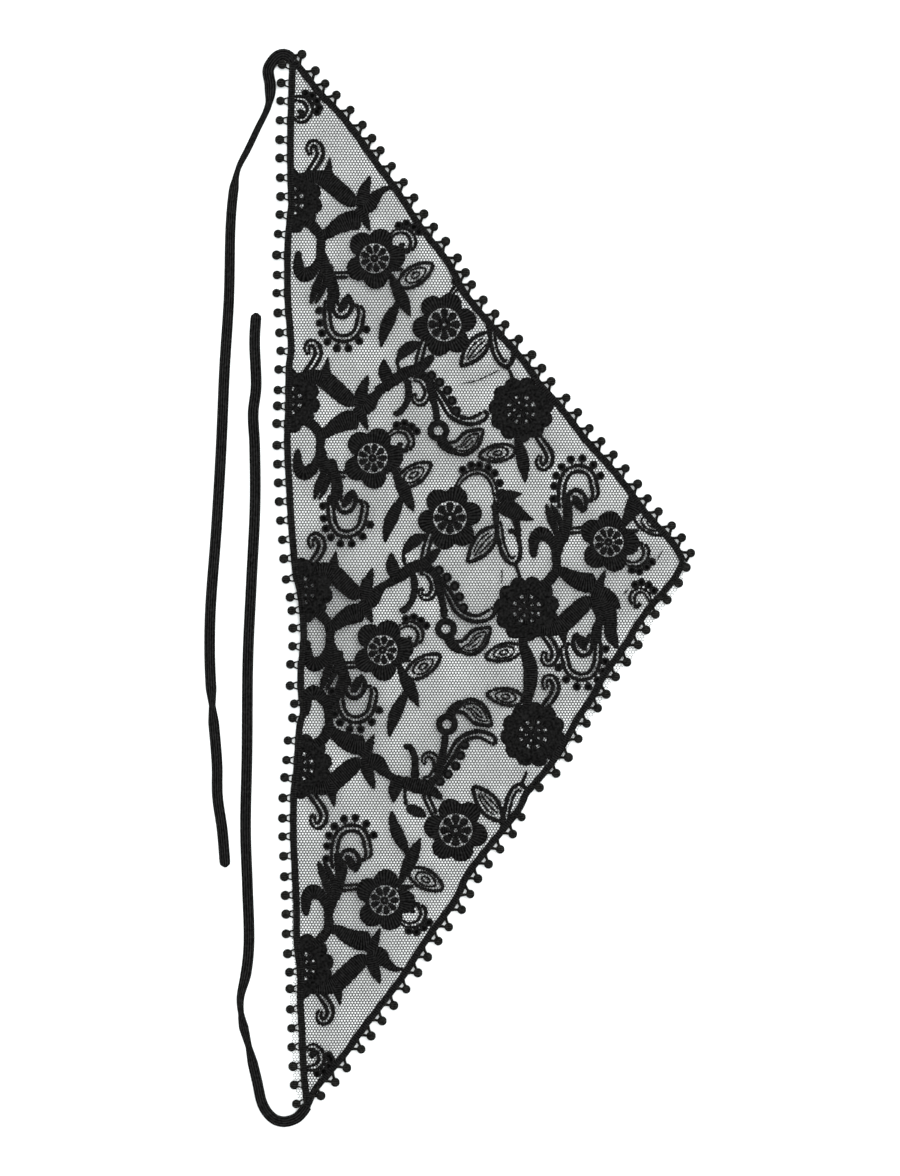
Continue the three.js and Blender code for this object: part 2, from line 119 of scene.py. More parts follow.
# Routes of the two ties from the binding to the free end: (down, out, height)
BINDING_HEIGHT = 2.35  # middle of a tie where it joins the binding
RESTING = 1.0  # middle of a tie that lies on the surface
HALFWAY = (BINDING_HEIGHT + RESTING) / 2
UPPER_TIE_ROUTE = (
    (1, -0.35, BINDING_HEIGHT), (-1.9, -2.4, BINDING_HEIGHT), (-5, -6.2, BINDING_HEIGHT),
    (-6, -11, BINDING_HEIGHT), (-3.6, -17, BINDING_HEIGHT), (2.5, -22.5, BINDING_HEIGHT),
    (10.5, -26.2, BINDING_HEIGHT), (27, -24, BINDING_HEIGHT), (47, -26, HALFWAY),
    (73, -38, RESTING), (93, -47.5, RESTING), (113, -57.5, RESTING), (133, -62, RESTING),
    (169, -65.5, RESTING), (250, -67.5, RESTING), (323, -72, RESTING), (404, -75.5, RESTING),
    (490, -80.5, RESTING), (580, -87, RESTING), (630, -87.5, RESTING), (677, -85, RESTING),
    (738, -80, RESTING), (772, -79.5, RESTING), (808, -74.5, RESTING), (844, -71.5, RESTING),
)
LOWER_TIE_ROUTE = (
    (1097.5, 14.3, BINDING_HEIGHT), (1100.4, 12.3, BINDING_HEIGHT), (1104.5, 9.3, BINDING_HEIGHT),
    (1109.5, 4.2, BINDING_HEIGHT), (1112.8, -3.2, BINDING_HEIGHT), (1113.8, -10.5, BINDING_HEIGHT),
    (1111.6, -18.9, BINDING_HEIGHT), (1105, -26.5, BINDING_HEIGHT), (1094.5, -32.5, BINDING_HEIGHT),
    (1071, -38, HALFWAY), (1040, -45.5, RESTING), (1005, -54, RESTING), (985, -55.5, RESTING),
    (958, -49.5, RESTING), (928, -46.5, RESTING), (868, -48, RESTING), (808, -50, RESTING),
    (727, -48.5, RESTING), (627, -47.5, RESTING), (550, -44, RESTING), (464, -40, RESTING),
    (404, -40.5, RESTING), (370, -42, RESTING), (343, -39, RESTING), (294, -40.5, RESTING),
    (268, -39, RESTING),
)
# Where a tie rolls over on itself and looks narrower: (down, share of its width)
UPPER_TIE_WIDTHS = (
    (-10, 1.07), (30, 1.05), (36, 0.95), (44, 0.66), (57, 0.58), (82, 0.62), (100, 0.6),
    (116, 0.5), (124, 0.62), (134, 0.9), (300, 1), (660, 1), (677, 0.62), (695, 1), (850, 1),
)
LOWER_TIE_WIDTHS = (
    (260, 1), (960, 1), (980, 0.75), (1000, 0.55), (1015, 0.9), (1035, 0.6), (1052, 0.95), (1120, 1),
)


def smooth_through(rows, down):
    """The value at a level, on one smooth curve through the rows of a table."""
    levels, values = np.array(rows, float).T
    down = np.asarray(down, float)
    after = np.clip(np.searchsorted(levels, down), 1, len(levels) - 1)
    inner = (values[2:] - values[:-2]) / (levels[2:] - levels[:-2])
    first = (values[1] - values[0]) / (levels[1] - levels[0])
    last = (values[-1] - values[-2]) / (levels[-1] - levels[-2])
    slopes = np.concatenate([[first], inner, [last]])
    span = levels[after] - levels[after - 1]
    t = (down - levels[after - 1]) / span
    start = (2 * t**3 - 3 * t**2 + 1) * values[after - 1] + (t**3 - 2 * t**2 + t) * span * slopes[after - 1]
    end = (3 * t**2 - 2 * t**3) * values[after] + (t**3 - t**2) * span * slopes[after]
    return start + end


def from_table(rows, down):
    """The value at a level: straight between the rows of a table, level beyond them."""
    levels, values = np.array(rows, float).T
    return np.interp(down, levels, values)


EDGE_STEPS = 1200  # an edge's length is added up over this many steps


class Edge:
    """A bound edge of the triangle: its binding's middle line, and which way is out of the cloth."""

    def __init__(self, start, end, sways, outward):
        self.start, self.end, self.sways, self.outward = start, end, sways, outward
        self.table = np.linspace(start[0], end[0], EDGE_STEPS + 1)
        points = self.at(self.table)[0]
        steps = np.hypot(*np.diff(points, axis=0).T)
        self.distances = np.concatenate([[0], np.cumsum(steps)])

    def middle(self, down):
        """How far out the middle line is at a level."""
        part = (np.asarray(down, float) - self.start[0]) / (self.end[0] - self.start[0])
        return self.start[1] + part * (self.end[1] - self.start[1]) + smooth_through(self.sways, down)

    def at(self, down):
        """Middle point, direction along and direction outwards at a level, on the plan."""
        down = np.asarray(down, float)
        slope = self.middle(down + 1) - self.middle(down - 1)
        along = np.stack([slope, np.full_like(slope, -2)], -1)
        along /= np.hypot(along[..., 0], along[..., 1])[..., None]
        outwards = np.stack([-along[..., 1], along[..., 0]], -1) * self.outward
        return plan(self.middle(down), down), along, outwards

    def spread(self, first, last, count):
        """Levels of points that lie evenly along the edge, from one level to another."""
        from_here, to_here = np.interp([first, last], self.table, self.distances)
        return np.interp(np.linspace(from_here, to_here, count), self.distances, self.table)


# Where the plan's origin is on the chart. The frame's panel gives it, once the edges are known: its
# first row says how far down, and the reach of its point says how far out.
ORIGIN_OUT = 0.0
ORIGIN_DOWN = 0.0


def plan(out, down):
    """Chart to plan: millimetres along the frame's X and Y."""
    return np.stack([np.asarray(out, float) - ORIGIN_OUT, ORIGIN_DOWN - np.asarray(down, float)], -1)


UPPER_CORNER = (0, 0)
POINT = (POINT_DOWN, POINT_OUT)
LOWER_CORNER = (WAIST_LENGTH, WAIST_LEAN)
waist = Edge(UPPER_CORNER, LOWER_CORNER, WAIST_SWAY, -1)
upper_hem = Edge(UPPER_CORNER, POINT, UPPER_HEM_SWAY, 1)
lower_hem = Edge(POINT, LOWER_CORNER, LOWER_HEM_SWAY, 1)

panel_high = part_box("lace_panel")[1] / MM
point_slant = abs(upper_hem.at(POINT_DOWN - 1)[2][0])
ORIGIN_OUT = POINT_OUT + TULLE_UNDER_BINDING / point_slant - panel_high.x
ORIGIN_DOWN = FIRST_ROW_DOWN + panel_high.y


def hem_middle(down):
    """How far out the hem's middle line is at a level, on whichever hem that level meets."""
    down = np.asarray(down, float)
    upper = upper_hem.middle(np.minimum(down, POINT_DOWN))
    lower = lower_hem.middle(np.maximum(down, POINT_DOWN))
    return np.where(down < POINT_DOWN, upper, lower)


def inside_by(points):
    """How far inside the nearest edge each plan point lies, measured along its level."""
    down = np.clip(ORIGIN_DOWN - points[..., 1], 0, WAIST_LENGTH)
    out = points[..., 0] + ORIGIN_OUT
    return np.minimum(out - waist.middle(down), hem_middle(down) - out)


CORNER_ROOM = 2  # stitches end this far from the waist's two corners


def tucked(points):
    """The same plan points, with any that lie past an edge brought back under its binding."""
    down = np.clip(ORIGIN_DOWN - points[..., 1], CORNER_ROOM, WAIST_LENGTH - CORNER_ROOM)
    out = np.clip(points[..., 0] + ORIGIN_OUT, waist.middle(down), hem_middle(down))
    return plan(out, down)


def lift(points):
    """Height of the cloth's underside over the surface."""
    height = np.zeros(points.shape[:-1])
    for ripple in RIPPLES:
        turn = math.radians(ripple.turn)
        middle = plan(ripple.out, ripple.down)
        x, y = points[..., 0] - middle[0], points[..., 1] - middle[1]
        along = (y * math.cos(turn) - x * math.sin(turn)) / (ripple.length / 2)
        across = (x * math.cos(turn) + y * math.sin(turn)) / (ripple.width / 2)
        far = np.minimum(np.hypot(along, across), 1)
        height += ripple.height * (1 + np.cos(math.pi * far)) / 2
    return height


PUCKER_HEIGHT = 2.2
PUCKER_FADE = 28  # the puckers die away over this distance towards the bindings


def cloth(points):
    """Height of the middle of the net: the ripples, and soft uneven puckers between the motifs."""
    x, y = points[..., 0], points[..., 1]
    wander = np.sin(0.047 * x + 0.061 * y + 1.4 * np.sin(0.023 * y)) * np.sin(0.058 * x - 0.033 * y + 0.8)
    fade = np.clip(inside_by(points) / PUCKER_FADE, 0, 1)
    return lift(points) + PUCKER_HEIGHT * (0.5 + 0.5 * wander) * fade + NET_HEIGHT


# ------------------------------------------------------------------------------- building bodies

SPAN_STEPS = 14  # points worked out between two rows before a curve is stepped evenly


def smooth_line(points, step, closed=False):
    """Even points, about a step apart, along a smooth curve through rows of (x, y, ...)."""
    rows = np.array(points, float)
    if closed:
        rows = np.vstack([rows, rows[:1]])
    gaps = np.maximum(np.sqrt(np.hypot(*np.diff(rows[:, :2], axis=0).T)), 1e-6)
    rises = np.diff(rows, axis=0) / gaps[:, None]
    slopes = np.empty_like(rows)
    across = (rows[2:] - rows[:-2]) / (gaps[1:] + gaps[:-1])[:, None]
    slopes[1:-1] = rises[:-1] - across + rises[1:]
    slopes[0], slopes[-1] = rises[0], rises[-1]
    if closed:
        around = (rows[1] - rows[-2]) / (gaps[0] + gaps[-1])
        slopes[0] = slopes[-1] = rises[-1] - around + rises[0]
    fine = []
    t = np.linspace(0, 1, SPAN_STEPS, endpoint=False)[:, None]
    for index, gap in enumerate(gaps):
        start = (2 * t**3 - 3 * t**2 + 1) * rows[index] + (t**3 - 2 * t**2 + t) * gap * slopes[index]
        end = (3 * t**2 - 2 * t**3) * rows[index + 1] + (t**3 - t**2) * gap * slopes[index + 1]
        fine.append(start + end)
    fine = np.vstack([*fine, rows[-1:]])
    distances = np.concatenate([[0], np.cumsum(np.hypot(*np.diff(fine[:, :2], axis=0).T))])
    count = max(math.ceil(distances[-1] / step), 3)
    stops = np.linspace(0, distances[-1], count + 1)
    line = np.stack([np.interp(stops, distances, column) for column in fine.T], -1)
    return line[:-1] if closed else line


def leftwards(line, closed=False):
    """Unit directions to the left of a line of plan points."""
    if closed:
        steps = np.roll(line, -1, axis=0) - np.roll(line, 1, axis=0)
    else:
        steps = np.gradient(line, axis=0)
    along = steps / np.maximum(np.hypot(steps[:, 0], steps[:, 1]), 1e-9)[:, None]
    return np.stack([-along[:, 1], along[:, 0]], -1)


DOME = ((0.97, 0), (1, 0.4), (0.75, 0.85), (0.35, 1))  # rings of a dot: share of radius, of height
DOME_SIDES = 14
BALL_SIDES = 16
BALL_BANDS = 10
SHARP_ANGLE = 50


class Body:
    """The points and faces of one piece, in millimetres.

    Its UV map is (along, across) the thread or tape, also in millimetres. On the net it is how far
    past the edge each point lies.
    """

    def __init__(self):
        self.points, self.faces, self.threads, self.count = [], [], [], 0

    def add(self, points, faces, threads):
        """Adds points, the faces between them, and each point's place on the UV map."""
        self.points.append(np.asarray(points, float).reshape(-1, 3))
        self.threads.append(np.asarray(threads, float).reshape(-1, 2))
        self.faces.extend([[self.count + corner for corner in face] for face in faces])
        self.count += len(self.points[-1])

    def add_rings(self, rings, along, across, closed=False):
        """A closed body through rings of points, anticlockwise when looked at along the line."""
        count, size = rings.shape[:2]
        index = np.arange(count * size).reshape(count, size)
        here = index if closed else index[:-1]
        there = np.roll(index, -1, axis=0) if closed else index[1:]
        quads = np.stack([here, there, np.roll(there, -1, axis=1), np.roll(here, -1, axis=1)], -1)
        faces = quads.reshape(-1, 4).tolist()
        if not closed:
            faces += [index[0].tolist(), index[-1][::-1].tolist()]
        threads = np.stack(np.broadcast_arrays(np.asarray(along)[:, None], np.asarray(across)), -1)
        self.add(rings, faces, threads)

    def add_dome(self, centre, radius, height):
        """A small padded dot on the net."""
        turns = np.arange(DOME_SIDES) * math.tau / DOME_SIDES
        circle = np.stack([np.cos(turns), np.sin(turns)], -1)
        rings = []
        for share, rise in DOME:
            spot = tucked(centre + circle * radius * share)
            rings.append(np.column_stack([spot, cloth(spot) - BELOW_NET + (height + BELOW_NET) * rise]))
        self.add_rings(np.array(rings), np.arange(len(DOME)) * radius / 3, turns * radius)

    def add_ball(self, centre, radius):
        """A ball wound with thread, its poles to either side."""
        falls = np.linspace(0, math.pi, BALL_BANDS + 1)[1:-1]
        turns = np.arange(BALL_SIDES) * math.tau / BALL_SIDES
        rings = np.stack([
            np.broadcast_to(-np.cos(falls)[:, None], (BALL_BANDS - 1, BALL_SIDES)),
            np.sin(falls)[:, None] * np.cos(turns),
            np.sin(falls)[:, None] * np.sin(turns),
        ], -1)
        self.add_rings(centre + rings * radius, falls * radius, turns * radius)

    def make(self, name, material, slot):
        """The finished piece, in metres, riding on the frame."""
        mesh = bpy.data.meshes.new(name)
        points = np.concatenate(self.points) * MM
        mesh.from_pydata(points.tolist(), [], self.faces)
        corners = np.empty(len(mesh.loops), np.int32)
        mesh.loops.foreach_get("vertex_index", corners)
        threads = np.concatenate(self.threads)[corners]
        layer = mesh.uv_layers.new(name="threads")
        layer.data.foreach_set("uv", threads.astype(np.float32).ravel())
        mesh.polygons.foreach_set("use_smooth", np.ones(len(mesh.polygons), bool))
        mesh.set_sharp_from_angle(angle=math.radians(SHARP_ANGLE))
        mesh.update()
        piece = bpy.data.objects.new(name, mesh)
        bpy.context.scene.collection.objects.link(piece)
        mesh.materials.append(material)
        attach(piece, "root")
        return piece


# --------------------------------------------------------------------------------- embroidery

STITCH_STEP = 1.3  # between two rings of a band's mesh
BELOW_NET = 0.45  # the stitches show on the wrong side too
# Stitch ends out of line, either way: at random, and in and out by turns
STITCH_RAGGED = 0.9
BY_TURNS = 0.8
OUTLINE_RAGGED = 0.5
PADDING_UNEVEN = 0.06  # bands differ in height by up to this
NARROWEST = 0.5
FEWEST_SHOWN = 3  # a band with fewer points than this over the cloth is left out
WIDE_BAND = 6
# Section of a wide band and of a slim one: (side as a share of width, share of height)
WIDE_SECTION = ((-0.5, 0), (-0.47, 0.55), (-0.27, 0.93), (0, 1), (0.27, 0.93), (0.47, 0.55), (0.5, 0))
LINE_SECTION = ((-0.5, 0), (-0.42, 0.7), (0, 1), (0.42, 0.7), (0.5, 0))
# A band's end is rounded over a share of its width, up to a limit
END_SHARE = 0.45
END_REACH = 3
END_POINT = 0.93  # the more, the nearer an end comes to a point
# How high each kind of work stands, as a share of the solid satin
LINE_RISE = 0.9
DROP_RISE = 0.85
STEM_RISE = 0.8
VEIN_RISE = 0.7
ragged = random.Random(5)


def satin_line(body, line, height, closed=False, rough=STITCH_RAGGED):
    """A band of satin stitch along rows of (x, y, width), rounded over and a little ragged."""
    spots, widths = line[:, :2], line[:, 2].copy()
    shown = np.flatnonzero(inside_by(spots) > -widths / 2)
    if len(shown) < FEWEST_SHOWN:
        return
    if closed:
        stops = np.arange(len(spots)) * STITCH_STEP
    else:
        spots = spots[shown[0] : shown[-1] + 1]
        widths = widths[shown[0] : shown[-1] + 1]
        stops = np.concatenate([[0], np.cumsum(np.hypot(*np.diff(spots, axis=0).T))])
        for stop in (stops, stops[-1] - stops):
            reach = max(min(END_SHARE * widths.max(), END_REACH), NARROWEST)
            part = np.clip(1 - stop / reach, 0, END_POINT)
            widths = widths * np.sqrt(1 - part**2)
    left = leftwards(spots, closed)
    uneven = np.array([ragged.uniform(-1, 1) for _ in widths]) + BY_TURNS * (-1.0) ** np.arange(len(widths))
    widths = np.maximum(widths + rough * uneven, NARROWEST)
    across, rise = np.array(WIDE_SECTION if widths.max() > WIDE_BAND else LINE_SECTION).T
    side = widths[:, None] * across
    plan_points = tucked(spots[:, None] + left[:, None] * side[..., None])
    top = height + ragged.uniform(-PADDING_UNEVEN, PADDING_UNEVEN)
    heights = cloth(plan_points) - BELOW_NET + (top + BELOW_NET) * rise
    body.add_rings(np.concatenate([plan_points, heights[..., None]], -1), stops, side, closed)


def satin(body, rows, height):
    """One solid band."""
    satin_line(body, smooth_line(rows, STITCH_STEP), height)


STRAND_SHARE = 0.4  # of a double line's width, each strand takes this where they lie apart
STRAND_CLOSED = 0.15  # and this much more where they close together
CLOSING = 5  # distance from either end over which they close


def double_line(body, rows, height):
    """Two lines of satin with a slim gap between them, which close together at the ends."""
    line = smooth_line(rows, STITCH_STEP)
    left = leftwards(line[:, :2])
    stops = np.linspace(0, 1, len(line)) * STITCH_STEP * len(line)
    open_up = np.clip(np.minimum(stops, stops[-1] - stops) / CLOSING, 0, 1)
    open_up = open_up**2 * (3 - 2 * open_up)
    strand = line[:, 2] * (STRAND_SHARE + STRAND_CLOSED * (1 - open_up))
    for sign in (-1, 1):
        offset = sign * (line[:, 2] - strand) / 2
        satin_line(body, np.column_stack([line[:, :2] + left * offset[:, None], strand]), height)


def loop(body, rows, height, rough=STITCH_RAGGED):
    """One closed line of satin."""
    satin_line(body, smooth_line(rows, STITCH_STEP, closed=True), height, closed=True, rough=rough)


PETAL_RIBS = 20  # radius at which stitches that fan out over a ring lie at their own spacing
FEWEST_SIDES = 16


def ring(body, centre, inner, outer, height, ribs=PETAL_RIBS):
    """A padded ring between two radii, each the same all round or given at even turns.

    With no ribs it is smooth all over.
    """
    sides = max(FEWEST_SIDES, math.ceil(math.tau * np.max(outer) / STITCH_STEP))
    count = np.size(outer) if np.size(outer) > 1 else sides
    turns = np.arange(count) * math.tau / count
    across, rise = np.array(WIDE_SECTION).T
    inner = np.broadcast_to(inner, turns.shape)[:, None]
    outer = np.broadcast_to(outer, turns.shape)[:, None]
    radii = (inner + outer) / 2 - (outer - inner) * across
    spot = tucked(centre + np.stack([radii * np.cos(turns)[:, None], radii * np.sin(turns)[:, None]], -1))
    heights = cloth(spot) - BELOW_NET + (height + BELOW_NET) * rise
    body.add_rings(np.concatenate([spot, heights[..., None]], -1), turns * ribs, radii, closed=True)


def uneven_outline(radii):
    """An outline of satin stitch, with its stitch ends a little out of line."""
    return radii + [ragged.uniform(-OUTLINE_RAGGED, OUTLINE_RAGGED) * STITCH_RAGGED for _ in radii]


Flower = namedtuple("Flower", "radius petal_radius disc petals drops hub hub_hole drop_width")
FLOWER_STEPS = 120
NOTCH_SHARE = 0.53  # how far out the notches between petals are
PETAL_SPREAD = 1.4  # a petal reaches no further than this to either side, in radians
# A drop in a flower's disc, from its point outwards: (share of the disc's radius, share of its width)
DROP = ((0.3, 0.38), (0.5, 0.66), (0.72, 1), (0.86, 0.92), (0.96, 0.4))


def petal_outline(flower, angles):
    """Radius at even turns of a ring of round petals, each about its own direction."""
    turns = np.arange(FLOWER_STEPS) * math.tau / FLOWER_STEPS
    reach = flower.radius - flower.petal_radius
    radii = np.full(FLOWER_STEPS, NOTCH_SHARE * flower.radius)
    for angle in angles:
        away = (turns - math.radians(angle) + math.pi) % math.tau - math.pi
        under = flower.petal_radius**2 - (reach * np.sin(away)) ** 2
        lobe = reach * np.cos(away) + np.sqrt(np.maximum(under, 0))
        in_petal = (under > 0) & (np.abs(away) < PETAL_SPREAD)
        radii = np.where(in_petal, np.maximum(radii, lobe), radii)
    return uneven_outline(radii)


def embroider_flower(body, place, flower, centre, height):
    """A ring of petals round an open disc, with drops in the disc and a small eyelet hub."""
    middle = place.spots([centre])[0][:2]
    angles = [place.angle(angle) for angle in flower.petals]
    ring(body, middle, flower.disc, petal_outline(flower, angles), height)
    ring(body, middle, flower.hub_hole, flower.hub, height * LINE_RISE)
    for index in range(flower.drops):
        turned = math.radians(place.angle(360 * index / flower.drops))
        across = np.array([math.cos(turned), math.sin(turned)])
        rows = [
            [*(middle + across * flower.disc * share), flower.drop_width * width]
            for share, width in DROP
        ]
        satin(body, rows, height * DROP_RISE)


ROSETTE_NOTCH = 29.6  # radius of the notches between lobes
ROSETTE_LOBE = 5.0  # how far the lobes stand out from them
ROSETTE_LOBES = 11
ROSETTE_ROUND = 0.62  # power that makes the lobes round and the notches narrow
ROSETTE_TURN = 54.6  # direction of a lobe
UPPER_TIER = 0.76  # size of the second tier of lobes, which lies between those of the first
UPPER_TIER_RISE = 1.5
TIER_STARTS = (-0.5, 1)  # inner radius of either tier, from the edge of the outer ring
ROSETTE_HUB = 0.6  # radius of the hole in its middle
# Two rings with openings in them: (from, to, openings, their width)
ROSETTE_RINGS = ((5.2, 8.8, 5, 2.0), (11.4, 15.6, 8, 3.2))
RING_OVERLAP = 0.4  # of the solid rings over the open ones
ARC_OVERLAP = 1.2  # of the open rings under the solid ones, both sides together
OPENING_LEAST, OPENING_MORE = 0.55, 0.75  # an opening's width is a share of the stated one
FEWEST_ARC_STEPS = 4


def embroider_rosette(body, place, height):
    """A dense round flower with two tiers of lobes and a few small openings round its middle."""
    middle = place.spots([(0, 0)])[0][:2]
    inner_ring, outer_ring = ROSETTE_RINGS
    turns = np.arange(FLOWER_STEPS) * math.tau / FLOWER_STEPS
    from_lobe = turns - math.radians(place.angle(ROSETTE_TURN))
    stand_out = np.abs(np.cos(from_lobe * ROSETTE_LOBES / 2)) ** ROSETTE_ROUND
    lobes = uneven_outline(ROSETTE_NOTCH + ROSETTE_LOBE * stand_out)
    ring(body, middle, outer_ring[1] + TIER_STARTS[0], lobes, height, ribs=0)
    upper_lobes = UPPER_TIER * np.roll(lobes, round(FLOWER_STEPS / ROSETTE_LOBES / 2))
    upper_start = outer_ring[1] + TIER_STARTS[1]
    ring(body, middle, upper_start, upper_lobes, height * UPPER_TIER_RISE, ribs=0)
    between = inner_ring[1] - RING_OVERLAP, outer_ring[0] + RING_OVERLAP
    ring(body, middle, *between, height * LINE_RISE)
    ring(body, middle, ROSETTE_HUB, inner_ring[0] + RING_OVERLAP, height * STEM_RISE)
    for near, far, openings, gap in ROSETTE_RINGS:
        radius = (near + far) / 2
        for index in range(openings):
            wide = gap * (OPENING_LEAST + OPENING_MORE * ragged.random()) / radius
            start = math.tau * (index + 0.5) / openings + wide / 2
            end = math.tau * (index + 1.5) / openings - wide / 2
            steps = max(FEWEST_ARC_STEPS, round(radius * (end - start) / STITCH_STEP))
            sweep = np.linspace(start, end, steps)
            spots = middle + radius * np.stack([np.cos(sweep), np.sin(sweep)], -1)
            rows = np.column_stack([spots, np.full(len(sweep), far - near + ARC_OVERLAP)])
            satin_line(body, rows, height * DROP_RISE)


LEAF_LINE = 3.8
LEAF_RAGGED = 1.2
LEAF_LOOPS = (0.58, 0.24)  # sizes of the two loops inside an outlined leaf
LEAF_LOOP_LINE = 2.2
LEAF_LOOP_SLIM = 0.95
LEAF_SHARES = (0.05, 0.14, 0.28, 0.44, 0.6, 0.76, 0.89)  # along its axis
LEAF_LEAN, LEAF_FULLNESS = 0.9, 0.62  # powers that set where it is widest and how full it is


def leaf_outline(base, tip, width):
    """Points round a leaf with a rounded base and a sharp tip."""
    axis = tip - base
    left = np.array([-axis[1], axis[0]]) / math.hypot(*axis)
    shares = np.array(LEAF_SHARES)
    halves = width / 2 * np.sin(math.pi * shares**LEAF_LEAN) ** LEAF_FULLNESS
    sides = [base + axis * share + left * half for share, half in zip(shares, halves)]
    back = [base + axis * share - left * half for share, half in zip(shares[::-1], halves[::-1])]
    return np.array([*sides, tip, *back])


def outlined_leaf(body, place, base, tip, width, height):
    """A leaf drawn with one bold line, and inside it two finer loops."""
    base, tip = place.spots([base, tip])[:, :2]
    middle = (base + tip) / 2
    bold = leaf_outline(base, tip, width - LEAF_LINE)
    loop(body, np.column_stack([bold, np.full(len(bold), LEAF_LINE)]), height, LEAF_RAGGED)
    for share in LEAF_LOOPS:
        fine = middle + (leaf_outline(base, tip, width * LEAF_LOOP_SLIM) - middle) * share
        loop(body, np.column_stack([fine, np.full(len(fine), LEAF_LOOP_LINE)]), height * VEIN_RISE)


class Place:
    """Where a motif is set in the cloth: its origin, which way it faces, and how it is stretched."""

    def __init__(self, out, down, across=1, upright=1, slant=0.0, stretch=1.0):
        self.origin, self.facing = (out, down), (across, upright)
        self.slant, self.stretch = slant, stretch

    def spots(self, rows):
        """Plan points of rows of (right, below, ...), with what follows them kept."""
        rows = np.array(rows, float)
        right = rows[:, 0]
        below = rows[:, 1] * self.stretch + self.slant * right
        out = self.origin[0] + self.facing[0] * right
        down = self.origin[1] + self.facing[1] * below
        return np.column_stack([plan(out, down), rows[:, 2:]])

    def angle(self, degrees):
        """A direction on the motif, anticlockwise from its right, as it lies on the plan."""
        turned = degrees if self.facing[1] > 0 else -degrees
        return turned if self.facing[0] > 0 else 180 - turned


# The chart. Rows are (right, below, width) from the motif's origin, which is the middle of the
# rosette or of the six-petalled flower; a dot or a leaf's ends have no width. The dots of a motif
# with a hub stand on short stems that point to it.
PLAIN_FLOWER = Flower(32.5, 13, 15.8, (72, 132, 213, 274, 4), 9, 4.3, 0.9, 6.8)
ROUND_FLOWER = Flower(34, 12.5, 17.6, (124.5, 74, 12, -53, -105.5, -170.5), 8, 6.8, 1.9, 8.8)

